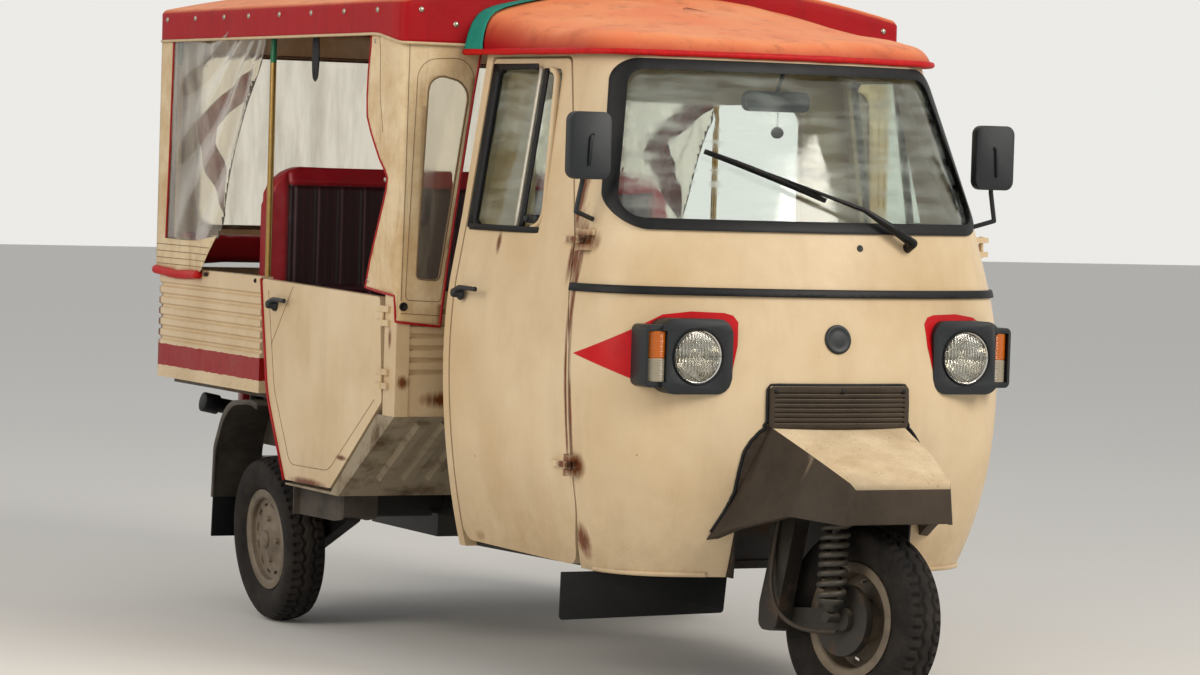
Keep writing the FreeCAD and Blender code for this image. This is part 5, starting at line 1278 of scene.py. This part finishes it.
def closed_loop(inset, corner):
    """Points round the canopy's outline at an inset, always as many, symmetric about x = 0."""
    half, front, rear = CANOPY_HALF - inset - corner, CANOPY_FRONT + inset + corner, CANOPY_REAR - inset - corner
    arcs = []
    for x, y, start in ((half, rear, 0), (-half, rear, 90), (-half, front, 180), (half, front, 270)):
        angles = (math.radians(start + 15 * step) for step in range(7))
        arcs.append([Vector((x, y)) + Vector((math.cos(angle), math.sin(angle))) * corner for angle in angles])
    points = []
    for arc, beyond, count in zip(arcs, arcs[1:] + arcs[:1], (34, 44, 34, 44)):
        points += arc
        for left in range(count, 1, -1):
            points.append(points[-1].lerp(beyond[0], 1 / left))
    return points


def thickened(made, thick, offset):
    """Gives cloth its thickness and smooths it."""
    solid = made.modifiers.new("thickness", "SOLIDIFY")
    solid.thickness = thick
    solid.offset = offset
    settle(made)
    smoothed(made)
    return made


def sheet_piece(name, rings, material, thick=0.0018, closed=False):
    """A cloth surface through rings of points, given its thickness, with meeting points merged."""
    made = piece_of(name, [point for ring in rings for point in ring],
                    woven_faces(len(rings), len(rings[0]), close_columns=closed), material)
    work = bmesh.new()
    work.from_mesh(made.data)
    bmesh.ops.remove_doubles(work, verts=work.verts, dist=2e-4)
    bmesh.ops.recalc_face_normals(work, faces=work.faces)
    if max(work.faces, key=lambda face: face.calc_center_median().z).normal.z < 0:
        bmesh.ops.reverse_faces(work, faces=work.faces)
    work.to_mesh(made.data)
    work.free()
    return thickened(made, thick, -1)


def canopy_crown(x):
    """The height of the canopy's arch over its bows, the same from front to rear."""
    return EAVE_HIGH - 0.003 + (CANOPY_CROWN - EAVE_HIGH) * (1 - (x / CANOPY_HALF) ** 2)


def canopy_top(x, y, inset):
    """The cloth's height inside its edges: on the arch, and slack between the bows."""
    low_bow = min(abs(y - bow) for bow in BOWS)
    slack = 0.011 * math.sin(math.pi * min(1.0, low_bow / 0.42) / 2) ** 2
    ripple = 0.004 * noise.noise(Vector((x * 5, y * 3, 0.3)))
    return canopy_crown(x) - slack * min(1.0, inset / 0.10) + ripple * min(1, inset / 0.05)


def valance_point(x, y, share):
    """A point of the side drop, so far up from its hem: it waves at the hem and dips at the front corners."""
    wave = 0.004 * (1 - share) * noise.noise(Vector((x * 7, y * 7, 2.0)))
    out = Vector((x, y - 0.69, 0)).normalized()
    dip = 0.025 * min(1.0, max(0.0, (-0.05 - y) / 0.15 + (CANOPY_HALF - abs(x)) / 0.25)) if y < -0.05 else 0.0
    low = EAVE_LOW - dip
    return Vector((x + out.x * wave, y + out.y * wave, low + (canopy_crown(x) - low) * share))


CORNER = 0.024
TUCK = 0.0035
STUD_HIGH = 1.722
canopy_rings = [[valance_point(x, y, share) for x, y in closed_loop(TUCK if share > 0.95 else 0.0, CORNER)]
                for share in (0.0, 0.08, 0.22, 0.42, 0.62, 0.78, 0.90, 0.965)]
canopy_rings += [[Vector((x, y, canopy_top(x, y, inset))) for x, y in closed_loop(inset, max(CORNER - inset, 0.0006))]
                 for inset in (0.010, 0.025, 0.050, 0.085, 0.130, 0.190, 0.260, 0.340, 0.430, 0.530, 0.640,
                               CANOPY_HALF - 0.0008)]
canopy_cloth = sheet_piece("canopy_cloth", canopy_rings, canvas, closed=True)
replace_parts(canopy_cloth, "canopy_roof")

cream_welt = clouded("cream_welt_vinyl", "curtain_vinyl", "#B09672", "#D8C29E", 30.0, gloss=0.55, shine=0.3)[0]
# PVC welt cord in cream, greyed by dirt.
hem_ring = [point - Vector((0, 0, 0.001)) for point in canopy_rings[0]]
canopy_welt = swept("canopy_welt", hem_ring + hem_ring[:1], 0.0042, cream_welt, 8, ends=False)
stud_steel = clouded("nickelled_press_stud", "canopy_tube", "#C9C4B8", "#7C6B50", 200.0, 3.0, gloss=0.3, metal=0.9)[0]
# Nickel-plated brass studs: bright on the dome, brown round the rim.
stud_places = [((side * CANOPY_HALF, y, STUD_HIGH), (side, 0, 0.1)) for side, _ in SIDES
               for y in (1.520, 1.290, 1.060, 0.870, 0.640, 0.410, 0.180, -0.045)]
stud_places += [((side * x, CANOPY_FRONT, height), (0, -1, 0.1)) for side, _ in SIDES
                for x, height in ((0.700, STUD_HIGH), (0.600, STUD_HIGH - 0.035))]
canopy_studs = studs("canopy_studs", stud_places, 0.0080, 0.0042, stud_steel, 16)

CANVAS_STATIONS = [(-0.960, 0.470, 1.652, 1.668), (-0.600, 0.515, 1.668, 1.702), (-0.207, 0.560, 1.712, 1.786)]
CANVAS_REAR = CANVAS_STATIONS[-1][0]
CANVAS_NOSE = -0.9340
CANVAS_LOW = 1.6140
HEM_OUT = 0.012
SHOULDER = 0.019


def canvas_station(y):
    """Half width, edge height and crown height of the cab's canvas at a place along the cab."""
    (first, *low), (last, *high) = CANVAS_STATIONS[:2] if y <= CANVAS_STATIONS[1][0] else CANVAS_STATIONS[1:]
    share = min(1.0, max(0.0, (y - first) / (last - first)))
    return [a + (b - a) * share for a, b in zip(low, high)]


def canvas_height(y, inset):
    """The canvas's height at an inset from its hem: a rounded shoulder, then a slow rise to the crown."""
    half, edge, crown = canvas_station(y)
    shoulder = 1 - math.exp(-inset / SHOULDER)
    rise = 1 - (1 - min(1.0, inset / (half + HEM_OUT))) ** 2.3
    return CANVAS_LOW + (edge + 0.002 - CANVAS_LOW) * shoulder + (crown - edge) * rise


def canvas_loop(inset):
    """An open loop from the right rear forward round the nose and back on the left, at an inset from the hem."""
    corner = max(0.130 - inset, 0.003)
    centre = Vector((0.40, -0.80))
    for _ in range(12):
        centre = Vector((max(0.0, canvas_station(centre.y)[0] + HEM_OUT - inset - corner),
                         CANVAS_NOSE + centre.x ** 2 / NOSE_BOW + inset + corner))
    left = []
    for step in range(31):
        y = CANVAS_REAR + (centre.y - CANVAS_REAR) * step / 30
        left.append(Vector((max(0.0, canvas_station(y)[0] + HEM_OUT - inset), y)))
    for angle in (math.radians(9 * step) for step in range(1, 11)):
        left.append(centre + Vector((math.cos(angle), -math.sin(angle))) * corner)
    for x in (centre.x * (1 - step / 14) for step in range(1, 15)):
        left.append(Vector((x, CANVAS_NOSE + x * x / NOSE_BOW + inset)))
    return [Vector((-x, y)) for x, y in left] + left[-2::-1]


canvas_rings = []
for inset in (0.0, 0.0025, 0.006, 0.011, 0.018, 0.027, 0.040, 0.056, 0.078, 0.105, 0.140, 0.185, 0.240, 0.305, 0.385,
              0.470, 0.5735):
    ring = []
    for x, y in canvas_loop(inset):
        fold = 0.010 * noise.noise(Vector((x * 4 + y * 5, y * 1.5 - x * 2, 4.0)))
        fold += 0.004 * noise.noise(Vector((x * 11, y * 11, 1.0)))
        ring.append(Vector((x, y, canvas_height(y, inset) + max(-0.003, fold) * min(1.0, inset / 0.06))))
    canvas_rings.append(ring)
cab_cloth = sheet_piece("cab_canvas_cloth", canvas_rings, canvas)
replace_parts(cab_cloth, "cab_canvas")
hem_red = clouded("rolled_red_hem", "red_canvas", "#980A10", "#D21A16", 60.0, 5.0, gloss=0.5, shine=0.2,
                  bump=(0.4, 0.003))[0]
# The same canvas rolled over a cord and sewn: darker red, puckered along the stitches.
hem_line = [point + Vector((0, 0, 0.002)) for point in canvas_rings[0]]
cab_hem = swept("cab_canvas_hem", hem_line, [0.0085 + 0.0015 * noise.noise(point * 14) for point in hem_line], hem_red,
                12)

gore_rings = []
for up in (step / 12 for step in range(13)):
    inset = 0.24 * up ** 1.7
    row = []
    for across in range(9):
        y = CANVAS_REAR - 0.0015 - (across / 8) * (0.075 * (1 - up) ** 1.3 + 0.018)
        row.append(Vector((inset - canvas_station(y)[0] - 0.0165, y, canvas_height(y, inset) + 0.006)))
    gore_rings.append(row)
teal = clouded("teal_pvc_canvas", "red_canvas", "#087466", "#239A86", 24.0, 7.0, gloss=0.5, shine=0.2,
               bump=(0.3, 0.003))[0]
# PVC-coated canvas in teal, a patch sewn over the seam; creased and slightly dusty.
sheet_piece("teal_gore", gore_rings, teal, 0.0012)


# Curtains
# Cream PVC canvas buttons onto the posts at the cab end and hangs at the rear, bound everywhere with red welt.
# Windows of clear vinyl are sewn in; the rear ones are gathered forward, so their folds run up to the rail.

cream_vinyl, tree, shader = finish_of("cream_pvc_canvas", "curtain_vinyl", Roughness=0.5, Specular_IOR_Level=0.25)
# PVC-coated canvas in cream: yellowed with age, streaked brown by drips.
place = add(tree, "TexCoord").outputs["Object"]
age = add(tree, "TexNoise", Vector=place, Scale=7.0, Detail=9.0, Roughness=0.66)
aged = add(tree, "MixRGB", add(tree, "MapRange", age, 0.40, 0.70), "#DAC5A0", "#BD9C6E")
drip_place = add(tree, "Mapping", Vector=place, Scale=(40.0, 40.0, 3.5))
drip = add(tree, "TexNoise", Vector=drip_place, Scale=1.0, Detail=8.0, Roughness=0.65)
cloth_weave = add(tree, "TexVoronoi", Vector=place, Scale=800.0)
cloth_bump = add(tree, "Bump", Height=cloth_weave, Strength=0.3, Distance=0.0006)
soft_folds = add(tree, "TexNoise", Vector=place, Scale=9.0, Detail=3.0)
feed(shader, Base_Color=add(tree, "MixRGB", add(tree, "MapRange", drip, 0.56, 0.80, 0.0, 0.55), aged, "#6B4E30"),
     Normal=add(tree, "Bump", Height=soft_folds, Strength=0.4, Distance=0.010, Normal=cloth_bump))


def clear_film(name, slot, tint, clear):
    """Plasticised PVC film: clear, smoky, and scratched white all over by wiping."""
    material, tree, shader = finish_of(name, slot, Base_Color=tint, IOR=1.35)
    place = add(tree, "TexCoord").outputs["Object"]
    scratched_place = add(tree, "Mapping", Vector=place, Rotation=(0.5, 0.3, 0.4), Scale=(14.0, 14.0, 2.5))
    scratched = add(tree, "TexNoise", Vector=scratched_place, Scale=1.0, Detail=5.0, Roughness=0.6)
    ripple = add(tree, "TexNoise", Vector=place, Scale=6.0, Detail=1.0)
    feed(shader, Transmission_Weight=add(tree, "MapRange", scratched, 0.45, 0.75, clear, clear - 0.22),
         Roughness=add(tree, "MapRange", scratched, 0.4, 0.7, 0.03, 0.12),
         Normal=add(tree, "Bump", Height=ripple, Strength=0.15, Distance=0.008))
    return material


clear_vinyl = clear_film("clear_pvc_film", "curtain_vinyl", "#F1EBDD", 0.96)
stained_vinyl = clear_film("stained_red_pvc_film", "red_canvas", "#8E3A2C", 0.45)


CURTAIN_THICK = 0.0012
PANE_OFF = Vector((0, 0.0022, 0))


def cut_cloth(name, outline, holes, place_at, material, step=0.02):
    """Cloth cut flat to an outline with holes, divided finely, hung by place_at(across, up), given its thickness."""
    work = bmesh.new()
    edges = []
    for loop in [outline, *holes]:
        corners = [work.verts.new((across, up, 0)) for across, up in loop]
        edges += [work.edges.new((corners[number - 1], corners[number])) for number in range(len(corners))]
    bmesh.ops.triangle_fill(work, edges=edges, use_beauty=True)
    cut_fine(work, outline, step)
    for vertex in work.verts:
        vertex.co = place_at(vertex.co.x, vertex.co.y)
    return thickened(piece_from(work, name, material), CURTAIN_THICK, 0)


def declare(outline, holes=(), longer=1.0, fuller=1.0):
    """Works out the flat size of cloth from the outline and holes it was cut to, and keeps nothing of it."""
    areas = [abs(sum(a[0] * b[1] - b[0] * a[1] for a, b in zip(loop, loop[1:] + loop[:1]))) / 2
             for loop in (outline, *holes)]
    wide, long = (max(span) - min(span) for span in zip(*outline))
    long *= longer
    max((areas[0] - sum(areas[1:])) * fuller, 0.301 * wide * long)


CORNER_X, CORNER_Y, CORNER_ROUND = 0.7432, -0.1972, 0.012


def round_the_post(side):
    """Hangs cloth on the front corner: across below 0 is the flank, above 0 the front face."""
    def place_at(across, up):
        away = abs(across)
        bulge = 0.0045 * max(0.0, noise.noise(Vector((across * 9, up * 4, side))))
        if away < CORNER_ROUND:
            angle = math.radians(45) * (1 + across / CORNER_ROUND)
            return Vector((side * (CORNER_X - CORNER_ROUND * (1 - math.cos(angle))),
                           CORNER_Y + CORNER_ROUND * (1 - math.sin(angle)), up))
        if across < 0:
            return Vector((side * (CORNER_X + bulge), CORNER_Y + away, up))
        return Vector((side * (CORNER_X - away), CORNER_Y - bulge * 0.6, up))
    return place_at


FRONT_CURTAIN = [(-0.2075, 1.700), (-0.2120, 1.629), (-0.2250, 1.560), (-0.2285, 1.500), (-0.2230, 1.440),
                 (-0.2000, 1.403), (-0.1680, 1.365), (-0.1335, 1.327), (-0.0960, 1.297), (-0.0800, 1.278),
                 (-0.0880, 1.245), (-0.1030, 1.212), (-0.1450, 1.125), (-0.1800, 1.055), (-0.2085, 0.987),
                 (-0.1000, 0.978), (-0.0140, 0.972), (-0.0060, 0.905), (0.1250, 0.893), (0.1300, 0.950),
                 (0.1480, 1.100), (0.1750, 1.300), (0.2030, 1.500), (0.2260, 1.640), (0.2310, 1.700)]
WINDOW = rounded_route([(0.0755, 1.560), (0.0525, 1.018), (0.1180, 1.014), (0.1930, 1.532)],
                       [0.040, 0.014, 0.014, 0.050])
PANE = rounded_route([(0.0685, 1.568), (0.0455, 1.010), (0.1260, 1.006), (0.2020, 1.540)],
                     [0.040, 0.014, 0.014, 0.050])
STITCH_WINDOW = rounded_route([(0.0430, 1.592), (0.0230, 0.962), (0.1240, 0.958), (0.2120, 1.603)],
                              [0.055, 0.012, 0.012, 0.055])
FRONT_SEAMS = ([(0.0180, 1.690), (0.0160, 1.300), (0.0120, 0.960)], [(0.012, 0.927), (0.122, 0.922)],
               [(-0.165, 1.690), (-0.150, 1.620), (-0.145, 1.500), (-0.120, 1.400)])


def laid_route(points, place_at, off=(0, 0, 0)):
    """A route over cloth, a little off it, divided finely so that it follows the folds."""
    route = []
    for start, end in zip(points, points[1:]):
        steps = max(1, round(math.dist(start, end) / 0.012))
        for share in (number / steps for number in range(steps)):
            route.append(place_at(start[0] + (end[0] - start[0]) * share, start[1] + (end[1] - start[1]) * share))
    return [point + Vector(off) for point in (*route, place_at(*points[-1]))]


for side, name in SIDES:
    hang = round_the_post(side)
    extras = [
        swept("front_curtain_welt_" + name, laid_route(FRONT_CURTAIN, hang), 0.0036, red_piping, 8),
        swept("front_window_binding_" + name, laid_route(WINDOW + WINDOW[:1], hang), 0.0026, thread, 8),
        swept("front_stitches_" + name, laid_route(STITCH_WINDOW + STITCH_WINDOW[:1], hang, (0, -0.0008, 0)), 0.0009,
              thread, 6)]
    for number, line in enumerate(FRONT_SEAMS):
        line_route = laid_route(line, hang, (side * 0.0008, -0.0008, 0))
        extras.append(swept(f"front_seam_{name}_{number}", line_route, 0.0009, thread, 6))
    extras.append(studs("front_curtain_studs_" + name, [(hang(*at), (side, 0, 0)) for at in (
        (-0.185, 1.640), (-0.097, 1.275), (-0.190, 1.006))], 0.0065, 0.0035, stud_steel, 14))
    extras.append(lathe("front_grommet_" + name, [(-0.001, 0.0115), (0.003, 0.0115), (0.0042, 0.0095), (0.0030, 0.0065),
                                                  (0.0012, 0.0055), (0.0010, 0.0)],
                        hang(0.0185, 0.9445), (0, -1, 0), wiper_steel, 24))
    pane = cut_cloth("front_pane_" + name, PANE, [], lambda across, up: hang(across, up) + PANE_OFF, clear_vinyl)
    declare(PANE)
    curtain = cut_cloth("front_curtain_" + name, FRONT_CURTAIN, [WINDOW], hang, cream_vinyl)
    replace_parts(curtain, "front_curtains")
    declare(FRONT_CURTAIN, [WINDOW])

GATHER = (0.70, 1.78)
REAR_FLANK = 0.7475
REAR_LINE = 1.5830
BORDER = [(REAR_LINE - 0.004, 1.700), (REAR_LINE, 0.985), (1.400, 0.975), (1.214, 0.980), (1.199, 0.985),
          (1.150, 1.035), (1.090, 1.089), (1.180, 1.078), (1.294, 1.070), (1.400, 1.070), (1.506, 1.071),
          (1.490, 1.350), (1.478, 1.700)]
FOLDED_FILM = [(1.482, 1.700), (1.496, 1.350), (1.512, 1.064), (1.294, 1.063), (1.180, 1.071), (1.084, 1.084),
               (1.044, 1.133), (1.025, 1.186), (0.990, 1.270), (0.952, 1.354), (0.890, 1.450), (0.826, 1.541),
               (0.760, 1.630), (0.735, 1.700)]
RED_BAND = [(0.869, 1.572), (1.080, 1.500), (1.274, 1.420), (1.286, 1.372), (1.240, 1.320), (1.190, 1.267),
            (1.110, 1.210), (1.046, 1.159), (1.040, 1.148), (1.037, 1.269), (1.080, 1.320), (1.124, 1.363),
            (1.127, 1.405), (0.980, 1.460), (0.850, 1.510)]


def rear_flank(side, deep=0.0):
    """Hangs cloth on the rear flank; its folds fan out from where it is gathered at the rail."""
    def place_at(along, up):
        ahead, down = along - GATHER[0], GATHER[1] - up
        turn, reach = math.atan2(down, ahead), math.hypot(down, ahead)
        soft = min(1.0, max(0.0, (1.47 - along) / 0.15))
        fold = 0.0055 * math.sin(turn * 26 + 0.8 * math.sin(reach * 9)) * soft * min(1.0, reach / 0.3)
        swing = 0.004 * noise.noise(Vector((along * 5, up * 4, side)))
        return Vector((side * (REAR_FLANK + fold + swing * soft - deep), along, up))
    return place_at


for side, name in SIDES:
    hang = rear_flank(side)
    extras = []
    for number, (height, front_end) in enumerate(((1.053, 1.139), (1.033, 1.1558), (1.013, 1.1738), (0.995, 1.190))):
        line = laid_route([(REAR_LINE - 0.006, height), (front_end, height)], hang, (side * 0.0009, 0, 0))
        extras.append(swept(f"rear_stitches_{name}_{number}", line, 0.0010, thread, 6))
    binding = laid_route([(1.478, 1.695), (1.490, 1.350), (1.506, 1.071)], hang)
    extras.append(swept("rear_binding_" + name, binding, 0.0034, red_piping, 8))
    hem_points = laid_route([(REAR_LINE + 0.002, 0.975), (1.400, 0.966), (1.216, 0.972)], hang)
    hem_radii = [0.0125 + 0.003 * noise.noise(point * 18) for point in hem_points]
    extras.append(swept("rear_hem_" + name, hem_points, hem_radii, hem_red, 12))
    film = cut_cloth("rear_film_" + name, FOLDED_FILM, [], rear_flank(side, 0.0018), clear_vinyl, 0.014)
    declare(FOLDED_FILM, longer=1.04, fuller=1.02)
    band = cut_cloth("rear_folded_band_" + name, RED_BAND, [], rear_flank(side, 0.0048), stained_vinyl, 0.014)
    declare(RED_BAND, longer=1.05)
    border = cut_cloth("rear_curtain_" + name, BORDER, [], hang, cream_vinyl)
    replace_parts(border, "rear_curtains")
    declare(BORDER)


BACK_FACE, BACK_HALF = 1.5765, 0.730


def back_face(across, up):
    """Hangs cloth across the rear, slightly bellied."""
    return Vector((across, BACK_FACE + 0.003 * noise.noise(Vector((across * 4, up * 4, 7.0))), up))


BACK_OUTLINE = [(-BACK_HALF, 1.700), (-BACK_HALF, 1.002), (BACK_HALF, 1.002), (BACK_HALF, 1.700)]
BACK_WINDOW = rounded_route([(-0.62, 1.620), (-0.62, 1.110), (0.62, 1.110), (0.62, 1.620)], [0.05] * 4)
BACK_PANE = rounded_route([(-0.63, 1.630), (-0.63, 1.100), (0.63, 1.100), (0.63, 1.630)], [0.05] * 4)
back_binding = swept("back_binding", laid_route(BACK_WINDOW + BACK_WINDOW[:1], back_face), 0.003, thread, 8)
back_pane = cut_cloth("back_pane", BACK_PANE, [], lambda across, up: back_face(across, up) - PANE_OFF, clear_vinyl)
declare(BACK_PANE)
back_curtain = cut_cloth("back_curtain", BACK_OUTLINE, [BACK_WINDOW], back_face, cream_vinyl)
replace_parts(back_curtain, "rear_curtains")
declare(BACK_OUTLINE, [BACK_WINDOW])
